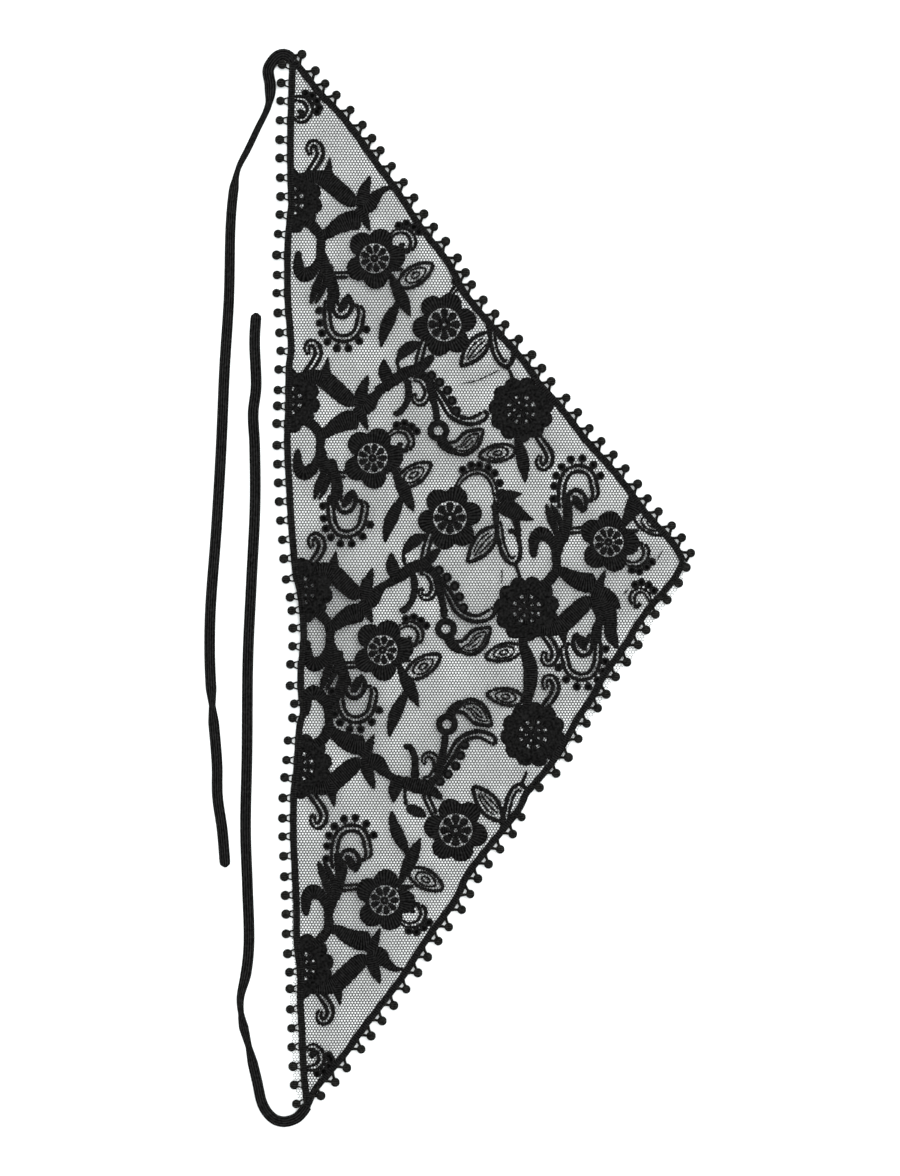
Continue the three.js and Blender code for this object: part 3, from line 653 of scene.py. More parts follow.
BESIDE_ROSETTE = {
    "hook": {
        "double": [
            [(20.6, -47.6, 5), (18.9, -52, 7.4), (18.6, -56, 8), (20.5, -59.6, 8.4), (24.5, -60.6, 9.2),
             (28.9, -56.8, 10.2), (30.4, -49.1, 10.6), (26.8, -40.7, 10.4), (20, -31.2, 9.5),
             (13, -22, 8)],
        ],
    },
    "bell": {
        "satin": [
            [(14, -24, 15), (26.4, -25.2, 15), (36.5, -22, 18.5), (50, -10.8, 19), (63.2, -0.2, 15.5),
             (69.8, 1.6, 9)],
            [(37.9, -19.3, 13), (38.6, -31.2, 10), (39.9, -38.5, 5.5), (40.7, -45.5, 1.5)],
            [(72.8, 7, 15), (74.2, -0.2, 14), (77.2, -12, 12), (80.9, -20.8, 6.8), (82.7, -27, 1.5)],
            [(70, 7, 15), (76.4, 17.4, 11), (83, 32, 1.5)],
            [(73.5, 20.5, 19), (61.7, 21, 21), (47, 27.8, 16), (38.2, 34, 12), (28, 36.5, 10)],
        ],
    },
    "arm": {
        "satin": [
            [(70.6, 7.1, 15), (80.9, 4.2, 17.5), (90.3, -6.3, 11), (98.7, -12.6, 6), (107, -14, 3.2)],
        ],
    },
    "stem": {
        "satin": [
            [(14, 20, 12), (24, 28, 11), (31, 38, 10), (31, 50.4, 9.6), (29.9, 61, 9.6),
             (25.5, 69.5, 11), (20, 75.5, 14), (13.7, 77.5, 15.5), (8.8, 73, 13), (7.2, 64, 10),
             (7.4, 57, 7.5), (8, 52.5, 4)],
            [(30.8, 52, 9), (34.5, 64, 11), (37, 76, 14)],
        ],
    },
    "flower": {"flower": [(PLAIN_FLOWER, (87.5, 60.5))]},
    "scroll": {
        "double": [
            [(103, 39.5, 4), (106.5, 35, 6), (111, 32, 7.2), (117, 31.2, 8), (123, 33.2, 8.8),
             (127.2, 38.8, 9.2), (128, 45.8, 8.8), (124.6, 51, 8)],
        ],
        "satin": [[(125, 51, 6), (120.6, 53, 5.5), (116.3, 50.5, 5.5), (116.3, 46.5, 6), (119.3, 45.7, 4.5)]],
        "dots": [(112.8, 25.8), (121, 23.8), (128.6, 27.6), (134, 32.6)],
        "hub": (117, 43),
    },
    "outlined leaf": {
        "leaf": [((113, 89.5), (148.5, 66.5), 23.5)],
        "satin": [[(100, 77, 6), (103.5, 73, 6), (110, 72, 4.5), (118, 72, 4)]],
    },
    "two leaves": {
        "satin": [
            [(103, 76, 6), (105.9, 81.6, 7.5), (110.3, 91.4, 11.5), (115.3, 100.8, 14),
             (120.2, 111.3, 10.5), (125.3, 122, 1.5)],
            [(112, 104, 5), (110.8, 109.2, 7), (106, 118.7, 12), (100.8, 129.7, 13.5),
             (96.6, 141.8, 9.5), (94.5, 153.5, 3)],
        ],
    },
    "upper leaf": {
        "satin": [[(101, 77, 6), (104, 83, 9), (108.5, 91.4, 13.5), (113, 100.8, 17), (118, 111, 13),
                   (124, 122, 3)]],
    },
    "bars": {
        "satin": [
            [(42, 75.2, 3.8), (50, 75.4, 3.6), (60, 75.4, 3.6)],
            [(42, 80.6, 3.8), (50, 80.4, 3.6), (60, 80.2, 3.6)],
        ],
    },
    "bud": {
        "satin": [
            [(37, 66, 12), (39, 76, 12.5), (43, 89.3, 11), (42.5, 103, 10), (40, 116, 8.5)],
            [(32.2, 73, 4), (28.6, 84.8, 8.4), (24, 97, 8), (20.3, 108.5, 3)],
            [(36.7, 71, 4), (35.9, 84.8, 5.8), (31.2, 97.5, 6), (25.3, 108.5, 2.5)],
        ],
    },
    "bud side": {"satin": [[(43, 77, 5), (46.5, 88, 5.5), (48, 98.5, 5.5), (46.5, 108, 4.5)]]},
    "crescent": {
        "double": [
            [(38, 104, 8), (37.7, 113, 9.5), (38.1, 123.9, 10), (40.3, 134.5, 10), (45.6, 142, 10),
             (53.8, 144.7, 10), (62, 143, 10), (68.8, 137, 10), (72.6, 124, 10), (73.6, 115.8, 9),
             (70.8, 111, 6.5)],
        ],
        "satin": [
            [(43.5, 104, 4.6), (44.4, 115, 4.6), (48.5, 121, 4.8), (55, 122, 5), (61, 117.5, 5),
             (63.8, 109, 5), (62.3, 102, 4.6), (58.5, 98, 3.6)],
            [(49.6, 116.6, 4), (52.4, 113.2, 8), (55, 109, 9.4), (57.2, 104.2, 8.6), (58.4, 99.6, 5)],
            [(46.5, 99, 4), (48, 104.5, 4.2), (49.4, 111, 3)],
            [(63, 111, 5), (67, 110, 4.5), (71.5, 110.5, 5)],
        ],
        "dots": [(29.5, 115.1), (30.3, 128.3), (32.4, 139), (38, 148), (47.9, 154.9), (59.9, 154.9),
                 (71.3, 147.2), (79, 134.9)],
        "hub": (55, 122),
    },
    "small leaf": {"leaf": [((-5.5, -42.5), (-44, -49), 21.5)]},
    "solid leaf": {
        "satin": [[(-4, -28, 6), (-3.5, -33, 8), (-0.8, -43, 11.5), (1.8, -55, 14), (3.5, -67, 9),
                   (4.2, -77, 1.5)]],
    },
    "long stem": {
        "satin": [[(-4, -28, 9), (-3.2, -38, 10), (0.7, -50, 13), (3.9, -61.7, 15.2), (3.8, -78, 15),
                   (1.5, -92, 10.5), (0.5, -104, 9)]],
    },
    "point branch": {
        "satin": [
            [(313, 557.5, 15), (325.5, 562, 19), (332.5, 566.5, 17), (338.4, 571.2, 11),
             (343.7, 575.4, 1.5)],
            [(326.5, 566, 16), (331, 577, 16), (333, 585, 14.5), (333, 594.5, 14), (333.2, 601, 13.2),
             (335.8, 608, 12), (338.4, 613.5, 7.6), (340.8, 618, 2)],
            [(325, 576, 10), (322.4, 586, 9.5), (319, 596.4, 10.5), (318.2, 604.2, 11.5),
             (318, 612.5, 10.5)],
            [(303.5, 604.5, 8), (303.8, 611, 11), (304.5, 617, 9)],
        ],
    },
    "point scroll": {
        "double": [[(375.2, 569.3, 4), (372.5, 561.5, 6), (367.5, 557, 6.5), (361.5, 556.6, 7.5),
                    (357, 560.5, 8.5), (355.8, 566, 8.5), (357.6, 570.8, 7)]],
        "satin": [[(357.5, 571, 5), (360, 573.3, 5), (363, 571.9, 5), (362.6, 568.8, 5.5)]],
        "dots": [(358.7, 550.4), (365.5, 547.9), (373.3, 550.8), (378.6, 556.7)],
        "hub": (364.5, 563),
    },
    "corner scroll": {
        "double": [
            [(1, 40, 7), (8, 40.2, 8.5), (14.5, 43.5, 9.5), (17.6, 50, 9.8), (15.8, 57, 9.5),
             (11, 61.8, 9), (5.5, 62, 8), (2, 59, 6)],
        ],
        "satin": [[(3.5, 60, 4), (8.2, 59.2, 4.5), (9.2, 56, 6), (6.8, 53.6, 6.5), (4, 53.5, 4)]],
        "dots": [(13, 34.7), (19.9, 37), (24.7, 42.8), (27.4, 49.6), (25.1, 54)],
    },
}

BESIDE_FLOWER = {
    "round flower": {"flower": [(ROUND_FLOWER, (0, 0))]},
    "leafy stem": {
        "double": [[(-20, 14, 8), (-22.5, 19.8, 9.4), (-26.5, 34.6, 9.4), (-29.5, 47.9, 8.6),
                    (-33.5, 57, 8)]],
        "satin": [
            [(-26.5, 18, 3), (-35, 22.5, 12), (-44.5, 30, 11), (-49, 37.5, 4.5)],
            [(-48.5, 33, 4), (-49.8, 41, 3.8), (-47.4, 50, 4)],
            [(-32, 52, 6), (-23, 43, 11.5), (-17, 37.5, 9.5), (-11.5, 32.5, 4)],
            [(-39.4, 58, 7.8), (-38, 73, 7.6), (-40.4, 84, 7.2), (-45.2, 91.4, 7), (-51, 95.5, 6.5),
             (-53, 92.5, 5)],
        ],
    },
    "limb": {
        "satin": [
            [(-26, 47, 9), (-35.7, 49.5, 12), (-44, 54, 13), (-52.5, 60, 11.5), (-61.4, 65.5, 9.5),
             (-72, 71, 8)],
            [(-62.4, 35.5, 1.5), (-62.4, 43, 9.5), (-61.4, 50.4, 14.5), (-59.2, 58, 13),
             (-57.5, 65, 7)],
        ],
    },
    "low stem": {
        "double": [[(-22.5, 16.4, 9.2), (-27.3, 26.9, 9.2), (-31, 36.3, 8.8), (-34.1, 44.7, 8.5),
                    (-38.8, 52.6, 6)]],
        "satin": [
            [(-51.4, 25.9, 5), (-46.7, 22.2, 11), (-41.5, 20.1, 12.5), (-36.2, 17.5, 9.5),
             (-31, 13.8, 3)],
            [(-53, 46.9, 3.6), (-53.3, 36.4, 3.6), (-52, 25.9, 4.4)],
            [(-43, 54, 10), (-42.5, 67.8, 7.8), (-43, 76.2, 7.6), (-45.6, 83.6, 7.2), (-49.3, 87.8, 6.5),
             (-54.6, 87.3, 5.5)],
        ],
    },
    "low limb": {
        "satin": [
            [(-13.6, 32.2, 2), (-17.3, 35.8, 7), (-24.7, 41.6, 11.5), (-33, 44.8, 15), (-41.4, 46.9, 16.5),
             (-49.8, 49.5, 14), (-58.2, 52.6, 8.5), (-65.1, 56.8, 5), (-73, 62, 5)],
            [(-65, 28, 1.5), (-65, 36, 9.5), (-63.5, 44, 14.5), (-60.5, 52, 13), (-58.5, 58, 7)],
        ],
    },
    "curl": {
        "double": [
            [(-33, 57, 5), (-25.5, 57.3, 7.5), (-19.8, 63.5, 9), (-17.8, 72, 9.2), (-20.8, 79.8, 9),
             (-26.3, 82.4, 8.2), (-31, 79.6, 6.5), (-31.8, 75, 5), (-28.5, 72.5, 4.5)],
        ],
    },
    "comb": {
        "satin": [
            [(-27, 49, 8), (-20, 54.5, 9), (-14.2, 60.2, 6.4), (-6.2, 68.7, 4.4), (1.3, 79.1, 4.4),
             (7.2, 89.5, 4.6), (15.8, 97.6, 4.8), (27.5, 100.4, 4.2), (35.9, 97, 3.8), (41, 93.8, 3.6)],
            [(-15.5, 62.4, 4.4), (-11.8, 67.9, 3.8), (-3.4, 81.8, 3.8), (4.2, 95.7, 4.2), (14.1, 103.2, 4.8),
             (25.8, 106.6, 4.8), (37.6, 104.9, 4.5), (45, 99.8, 4.2), (46, 95, 4), (41.5, 92.4, 3.8)],
            [(-15, 62, 9), (-13, 72, 7.6), (-9.7, 84, 7.5), (-7.6, 94, 7.4), (-7, 103, 8.5)],
            [(-3, 122, 11), (0.5, 128.5, 11), (6, 134, 9), (12, 138, 6)],
        ],
        "loops": [
            [(4.8, 127.5, 4.2), (12.4, 126, 4.2), (17.4, 121, 4.2), (23.5, 115.5, 4.2),
             (32.6, 113.3, 4.2), (41.3, 113, 3.8), (40.1, 121.1, 4.2), (36.5, 129.8, 4.4),
             (29.2, 137, 4.6), (20, 140, 4.6), (10.7, 137, 4.4), (4.5, 132, 4.2)],
            [(12, 133.4, 2.1), (19, 128.7, 2.1), (24, 122, 2.1), (29.4, 118.4, 2.1), (36.8, 117.6, 2.1),
             (35.5, 123.5, 2.1), (32, 130, 2.1), (26.5, 134.6, 2.1), (19, 136, 2.1)],
        ],
        "veins": [
            [(17, 132.6, 1.8), (22.5, 128.5, 2), (28, 122.8, 2), (33.3, 120.6, 1.6)],
            [(21.5, 133, 1.6), (27, 129.5, 1.9), (31.5, 124.5, 1.6)],
        ],
        "rings": [((-5.2, 114), 4.9, 11.6)],
        "big dots": [(-12.5, 54.3), (-4.2, 61.6), (4.1, 70.2), (8.9, 81.4), (13.2, 92.4)],
    },
    "veined leaf": {
        "loops": [
            [(46.5, 9.5, 4.4), (37, 11.5, 4.6), (28, 17, 4.6), (21.5, 26, 4.6), (18, 36, 4.4),
             (16.8, 45.4, 4), (26, 43, 4.6), (35.5, 37.5, 4.6), (42.6, 29.5, 4.6), (46, 19.5, 4.4)],
        ],
        "veins": [
            [(39.5, 15.5, 1.8), (31, 21.5, 2.1), (24.5, 31, 2), (22.2, 38, 1.5)],
            [(42.5, 17.5, 1.8), (35, 24, 2.2), (28, 32.5, 2.1), (23.5, 40, 1.5)],
            [(42.8, 22.5, 1.8), (36, 30, 2.1), (28, 37.5, 1.6)],
        ],
    },
    "drop": {
        "satin": [
            [(45.5, -14, 6.5), (46.8, -4, 7), (48.2, 9, 6.2)],
            [(48, 7, 4.4), (49.8, 22, 4.4), (53.5, 36, 4.4), (59.4, 45, 4.4), (66, 48, 4.6),
             (71.4, 43.5, 4.8), (72.8, 31.5, 4.8), (69.8, 19.5, 4.6), (64.5, 13.8, 5), (60.5, 15.5, 6)],
            [(51.5, 4, 3), (53.4, 11, 3.1), (55.2, 23, 3.1), (58.8, 34.4, 3.1), (63.6, 41.6, 3.2),
             (67.5, 40, 3)],
            [(67.5, 48, 3.6), (70.5, 55, 3.6), (72.5, 62, 3.6)],
            [(60, -8, 9), (67, 2, 8), (70.5, 12, 6), (71.5, 22, 5)],
        ],
    },
    "arch": {
        "double": [
            [(6, -29, 6), (8.8, -35.2, 6.8), (15.1, -42, 7.2), (25.6, -46.2, 7.4), (35.1, -44.6, 7.4),
             (42.4, -37.3, 7.2), (46.6, -25.7, 7), (48, -12, 6.5)],
        ],
        "satin": [
            [(49, -27, 12), (56, -20.5, 14), (63.5, -21.8, 12), (69, -23, 6.5), (75, -23.8, 1.5)],
            [(52, -15, 18), (60, -9.5, 20), (69, -4.5, 17), (76, -1, 10.5), (87, 3, 1.5)],
        ],
        "dots": [(12.5, -48), (21.2, -52.6), (29.7, -52.6), (39.3, -50), (46, -44.6), (51.3, -34.7)],
        "hub": (27, -28),
    },
}

# Each row is a place and what is set there, with the places as much out of line as the cloth is
BUD = ("bud", "bud side")
TO_THE_RIGHT = ("flower", "scroll", "outlined leaf", "two leaves")
ROSETTE_PLACES = (
    (Place(-3.6, 147.5), ("rosette",)),
    (Place(-2.1, 147.5), ("hook", "bell", "arm", "stem", *TO_THE_RIGHT, "bars", *BUD, "crescent")),
    (Place(-5.7, 357), ("rosette",)),
    (Place(-4.2, 357), ("hook", "bell", *TO_THE_RIGHT[:3], "bars")),
    (Place(-4.2, 358.8), ("arm",)),
    (Place(-2.7, 355.5), ("stem",)),
    (Place(1.8, 352.5), ("two leaves", *BUD, "crescent")),
    (Place(7.9, 556.5), ("rosette", "stem", "bars")),
    (Place(5.6, 558), ("outlined leaf",)),
    (Place(6.4, 556.5), ("two leaves",)),
    (Place(6.2, 558.5), ("flower",)),
    (Place(5.6, 560.5), ("scroll",)),
    (Place(7.9, 559.7, across=0.91), ("bell",)),
    (Place(7.9, 562, across=0.91), ("arm",)),
    (Place(-0.2, 559.8), ("hook",)),
    (Place(8.9, 553), BUD),
    (Place(11.4, 547), ("crescent",)),
    (Place(6.5, 740.8, upright=-1), ("rosette", "arm", "stem")),
    (Place(2.3, 738.5, upright=-1), ("bell",)),
    (Place(1.8, 742.8, upright=-1), ("hook",)),
    (Place(8.4, 950.8, upright=-1, slant=0.1), ("rosette", "hook", "bell", "arm", *TO_THE_RIGHT, "bars")),
    (Place(6, 951.5, upright=-1, slant=0.1), ("stem", *BUD)),
    (Place(5.4, 955.8, upright=-1, slant=0.1), ("crescent",)),
    (Place(239.4, 366.5, upright=-1), ("rosette", "small leaf", "solid leaf")),
    (Place(238.9, 366.5, upright=-1), ("hook",)),
    (Place(245, 575.6, upright=-1, slant=0.085),
     ("rosette", "stem", "outlined leaf", "upper leaf", "bars", "bud", "long stem")),
    (Place(246, 573.6, upright=-1, slant=0.085), ("small leaf",)),
    (Place(244.4, 574.3, upright=-1, slant=0.085), ("hook", "bell")),
    (Place(243.5, 573.4, upright=-1, slant=0.085), ("flower",)),
    (Place(242.4, 570.3, upright=-1, slant=0.085), ("scroll",)),
    (Place(243.6, 577.8, upright=-1, slant=0.085), ("crescent",)),
    (Place(251.8, 707.5), ("rosette",)),
    (Place(245.3, 708.3), ("hook",)),
    (Place(247.6, 713.6), ("small leaf",)),
    (Place(357.6, 502.5, across=-1), ("crescent",)),
    (Place(0, 0), ("corner scroll", "point branch", "point scroll")),
    (Place(12.2, 1098, upright=-1), ("corner scroll",)),
)
FLOWER_PLACES = (
    (Place(157.7, 278.3, stretch=0.97), ("limb", "comb", "arch")),
    (Place(158.7, 277.3, stretch=0.97), ("round flower",)),
    (Place(159.2, 278.3, stretch=0.97), ("leafy stem",)),
    (Place(158.7, 279.8, stretch=0.97), ("curl",)),
    (Place(159.7, 276.3, stretch=0.97), ("veined leaf",)),
    (Place(157.7, 275, stretch=0.97), ("drop",)),
    (Place(165.5, 479.3, stretch=1.03), ("leafy stem", "limb", "curl", "comb", "drop", "arch")),
    (Place(164.5, 480.3, stretch=1.03), ("round flower",)),
    (Place(167, 479.3, stretch=1.03), ("veined leaf",)),
    (Place(170.6, 808.1, upright=-1), ("round flower", "low stem", "low limb")),
    (Place(168.6, 810.8, upright=-1), ("curl",)),
    (Place(166.6, 810.8, upright=-1), ("comb",)),
    (Place(172.4, 807.8, upright=-1), ("veined leaf", "drop")),
)
# Fine creases in the net, as lines of (out, down)
CREASES = (
    ((176.8, 339), (190.3, 337), (203.7, 331.2), (215.5, 325.3)),
    ((219, 534.5), (219.2, 542), (218.4, 549)),
    ((387.5, 514.5), (385, 519), (382.2, 524)),
    ((352, 554.5), (349, 558), (346.5, 560.5)),
)


def every_motif():
    """Each motif of the layout: its place, its name and its rows. A rosette has no rows."""
    for places, motifs in ((ROSETTE_PLACES, BESIDE_ROSETTE), (FLOWER_PLACES, BESIDE_FLOWER)):
        for place, names in places:
            for name in names:
                yield place, name, motifs.get(name, {})


def embroider_flowers(body, height):
    """The rosettes and the flowers with an open disc."""
    for place, name, motif in every_motif():
        if name == "rosette":
            embroider_rosette(body, place, height)
        for flower, centre in motif.get("flower", ()):
            embroider_flower(body, place, flower, centre, height)


def embroider_leaves(body, height):
    """The solid bands: leaves, stems and buds."""
    for place, _, motif in every_motif():
        for rows in motif.get("satin", ()):
            satin(body, place.spots(rows), height)


def embroider_lines(body, height):
    """The finer work: double lines, loops, veins, rings and outlined leaves."""
    for place, _, motif in every_motif():
        for rows in motif.get("double", ()):
            double_line(body, place.spots(rows), height * LINE_RISE)
        for rows in motif.get("loops", ()):
            loop(body, place.spots(rows), height * LINE_RISE)
        for rows in motif.get("veins", ()):
            satin(body, place.spots(rows), height * VEIN_RISE)
        for centre, inner, outer in motif.get("rings", ()):
            ring(body, place.spots([centre])[0], inner, outer, height)
        for base, tip, width in motif.get("leaf", ()):
            outlined_leaf(body, place, base, tip, width, height * LINE_RISE)


BIG_DOT = 1.21  # size of a big dot beside the others
DOT_STEM = (1, 3.5, 6.2)  # distances from a dot's middle, along the stem that it stands on
DOT_STEM_WIDTH = 2.4


def embroider_dots(body, radius, height):
    """The padded dots, some of them on stems that point to a hub."""
    for place, _, motif in every_motif():
        hub = place.spots([motif["hub"]])[0] if "hub" in motif else None
        for kind, size in (("dots", radius), ("big dots", radius * BIG_DOT)):
            for dot in motif.get(kind, ()):
                spot = place.spots([dot])[0]
                if inside_by(spot) < 0:
                    continue
                body.add_dome(spot, size, height)
                if hub is not None:
                    way = (hub - spot) / np.hypot(*(hub - spot))
                    stem = [[*(spot + way * length), DOT_STEM_WIDTH] for length in DOT_STEM]
                    satin(body, stem, height * STEM_RISE)


CREASE_WIDTH = 0.9
CREASE_HEIGHT = 0.6


def raise_creases(body):
    """The fine creases of the net, as thin ridges."""
    for points in CREASES:
        rows = [[*plan(out, down), CREASE_WIDTH] for out, down in points]
        satin(body, rows, CREASE_HEIGHT)


# -------------------------------------------------------------------------------- the net itself

NET_ROW = 6
NET_COLUMNS = 72
NET_ENDS = (9, 1091)  # levels where the bindings meet and cover the tulle whole
LEAST_SLANT = 0.4  # keeps the margin from running away where a hem lies nearly across the levels


def net_rows():
    """Rows of plan points over the whole triangle, from cut edge to cut edge."""
    count = round((NET_ENDS[1] - NET_ENDS[0]) / NET_ROW)
    levels = np.linspace(*NET_ENDS, count + 1)
    hem_slant = np.where(levels < POINT_DOWN, upper_hem.at(levels)[2][:, 0], lower_hem.at(levels)[2][:, 0])
    waist_cut = TULLE_UNDER_BINDING + from_table(WAIST_MARGIN, levels)
    hem_cut = TULLE_UNDER_BINDING + from_table(LOWER_HEM_MARGIN, levels)
    hem_cut = hem_cut / np.maximum(hem_slant, LEAST_SLANT)
    shares = np.linspace(0, 1, NET_COLUMNS + 1)
    start = waist.middle(levels) - waist_cut
    end = hem_middle(levels) + hem_cut
    out = start[:, None] + (end - start)[:, None] * shares
    return plan(out, np.broadcast_to(levels[:, None], out.shape))


def net_body():
    """The tulle as one thin closed sheet."""
    rows = net_rows()
    heights = cloth(rows)
    upper = np.concatenate([rows, (heights + NET_WALL / 2)[..., None]], -1)
    lower = np.concatenate([rows, (heights - NET_WALL / 2)[..., None]], -1)
    count, width = rows.shape[:2]
    index = np.arange(count * width).reshape(count, width)
    quads = np.stack([index[:-1, :-1], index[1:, :-1], index[1:, 1:], index[:-1, 1:]], -1).reshape(-1, 4)
    under = quads[:, ::-1] + count * width
    rim = np.concatenate([index[0, :-1], index[:-1, -1], index[-1, :0:-1], index[:0:-1, 0]])
    ahead = np.roll(rim, -1)
    wall = np.stack([rim, ahead, ahead + count * width, rim + count * width], -1)
    body = Body()
    past = -inside_by(rows)
    threads = np.concatenate([np.stack([past, past], -1)] * 2).reshape(-1, 2)
    body.add(np.concatenate([upper, lower]), [*quads.tolist(), *under.tolist(), *wall.tolist()], threads)
    return body


# ---------------------------------------------------------------------------- bindings and trim

BINDING_STEP = 2.5
BINDING_UNEVEN = 0.12  # sideways, either way
GROOVE_HEIGHT = 2.2
TAPE_WIDTH = 7.2  # width of the section below
# Half of the folded tape's section, from its middle groove outwards: (side, height)
BINDING_HALF = ((0.35, 2.45), (0.9, 2.75), (1.8, 2.85), (2.9, 2.65), (3.5, 2.0), (3.6, 0.3))


def binding_body(edge, first, last, width, sink):
    """Folded tape along an edge, with a groove along its middle where it is stitched."""
    count = round((last - first) / BINDING_STEP)
    levels = edge.spread(first, last, count + 1)
    centre, along, _ = edge.at(levels)
    left = np.stack([-along[:, 1], along[:, 0]], -1)
    scale = width / TAPE_WIDTH
    half = [(side * scale, height) for side, height in BINDING_HALF]
    section = [(-side, height) for side, height in half[::-1]] + [(0, GROOVE_HEIGHT)] + half
    side, rise = np.array(section).T
    wobble = np.array([ragged.uniform(-BINDING_UNEVEN, BINDING_UNEVEN) for _ in levels])
    spots = centre[:, None] + left[:, None] * (side + wobble[:, None])[..., None]
    heights = lift(centre)[:, None] + rise - sink
    stops = np.concatenate([[0], np.cumsum(np.hypot(*np.diff(centre, axis=0).T))])
    body = Body()
    body.add_rings(np.concatenate([spots, heights[..., None]], -1), stops, side)
    return body


# Levels at which the balls are sewn to each edge. Those that lie partly under it are (level, reach).
BALL_REACH = 11  # from the binding's middle line to the middle of a ball
WAIST_BALLS = (
    6, 24.7, 43.4, 63.7, 83.9, 103, 123.4, 143, 163.4, 183.5, 205, 225.6, 244.3, 264.5, 285.4, 305.9,
    325, 346.3, 363.2, 382, 404, 423.4, 443, 462.7, 482.4, 502.4, 522.2, 542.3, 561.7, 576.5, 595.4,
    615.7, 635, 656, (673.6, 8.5), (692.7, 9), 714.3, 734.8, 754.2, 774.3, 795.2, 814.3, 834.4, 855.9,
    875.6, 895.6, 916.3, 936, 955.7, 974.4, 995, 1014.8, 1034.8, 1054.8, 1073.6, 1093.6,
)
UPPER_HEM_BALLS = (
    1.5, 18, 32, 44.7, 59.6, 75, 88.6, 101.5, 118, 134.7, 150.6, 167.5, 182, 197.5, 213.6, 228, 241.8,
    258.8, 273.6, 285.3, 300.4, 316, 329.4, 344.6, 361.4, 376.4, 392.6, 407.4, 421.5, 435.5, 451.4,
    466, 481, 496.3, 507.4, 522,
)
LOWER_HEM_BALLS = (
    (530, 5.5), (545, 6.2), (561, 7.8), (576, 9.2), 592, 607.7, 625, 641, 660, 673.6, 690, 707, 725.5,
    (742, 9.8), (759, 6), (790, 7.2), 805, 821, 836.5, 852, 870, 885, 902.5, 917.7, 934.8, 951.4, 968,
    985, 1001, 1016.5, 1031.3, 1050, 1064.7, (1082, 8.6),
)
# Half of the loop that carries a ball, where the ball's middle reaches 11 mm from the binding's
# line: (side from that line, along, thickness). A short bar across the legs closes the eyelet.
STRAIGHT_LEG = ((2.6, 4.0, 1.9), (4.2, 3.3, 1.6), (5.6, 3.0, 1.6), (7, 2.2, 2.2), (8.2, 1, 2.6))
SPLAYED_LEG = ((2.6, 6.4, 2.4), (4, 4.6, 3.0), (5.4, 3.5, 3.0), (6.8, 2.8, 2.8), (8.2, 1.8, 3.2))
BAR = ((2.9, -3.8, 1.5), (3, 0, 1.5), (2.9, 3.8, 1.5))
CORD_SIDES = 8
CORD_STEP = 1.4
CORD_FLATNESS = 0.8  # height of its section for its width
CORD_GIRTH = 1.2  # scales the thread pattern round it
CORD_SINK = 0.7  # a cord starts this far under BINDING_HEIGHT
CORD_REACH = 9  # side at which it has risen to the middle of its ball


def trim_cord(body, rows, root, along, outwards, rise):
    """A cord of the trim, through rows of (side, along, thickness), as it rises to its ball."""
    spots = []
    for side, shift, thickness in rows:
        height = BINDING_HEIGHT - CORD_SINK + rise * side / CORD_REACH
        spots.append([*(root + outwards * side + along * shift), height, thickness])
    line = smooth_line(spots, CORD_STEP)
    left = leftwards(line[:, :2])
    turns = np.arange(CORD_SIDES) * math.tau / CORD_SIDES
    half = line[:, 3:4] / 2
    plan_points = line[:, None, :2] - left[:, None] * (np.cos(turns) * half)[..., None]
    heights = line[:, 2:3] + np.sin(turns) * half * CORD_FLATNESS
    rings = np.concatenate([plan_points, heights[..., None]], -1)
    body.add_rings(rings, np.arange(len(line)) * CORD_STEP, turns * CORD_GIRTH)


REACH_UNEVEN = 0.4  # a ball's distance from the binding differs by up to this
BALL_SIZES = (0.95, 1.05)
BALL_HANG = 1  # a ball hangs this far under cloth that is lifted off the surface


def trim_body(edge, balls, leg, ball_radius):
    """The balls along one edge, each with its two legs and an eyelet between them."""
    body = Body()
    for ball in balls:
        down, reach = ball if isinstance(ball, tuple) else (ball, BALL_REACH)
        centre, along, outwards = edge.at(down)
        reach += ragged.uniform(-REACH_UNEVEN, REACH_UNEVEN)
        radius = ball_radius * ragged.uniform(*BALL_SIZES)
        spot = centre + outwards * reach
        height = radius + max(lift(centre) - BALL_HANG, 0)
        body.add_ball(np.array([*spot, height]), radius)
        root = centre + outwards * (reach - BALL_REACH)
        legs = [[(side, shift * sign, thick) for side, shift, thick in leg] for sign in (-1, 1)]
        rise = height - BINDING_HEIGHT + CORD_SINK
        for rows in (*legs, BAR):
            trim_cord(body, rows, root, along, outwards, rise)
    return body


# ------------------------------------------------------------------------------------------ ties

TIE_STEP = 3.0
TIE_RIBS = 4
RIB_POINTS = 4  # across each rib
RIB_DEPTH = 0.28
RIB_STANDS = 0.8  # share of its depth
TIE_WALL = 1.5
ROLLED_WALL = 1.1  # what the wall gains where a tie is rolled onto its edge
EDGE_ROUNDNESS = 5
TIE_SPREAD = 1.12  # a tie that lies flat spreads a little past its nominal width
TIE_END_PAST = 3.0  # its stitched end reaches past the end of its route
TIE_END_SHARE = 0.5  # of its width, over which that end is rounded
TIE_END_POINT = 0.96  # the more, the nearer the end comes to a point
TIE_CLEARANCE = 0.1  # over the surface


def tie_line(route):
    """Ring centres along a tie: rows of (x, y, z) in plan millimetres."""
    rows = [[*plan(out, down), height] for down, out, height in route]
    return smooth_line(rows, TIE_STEP)


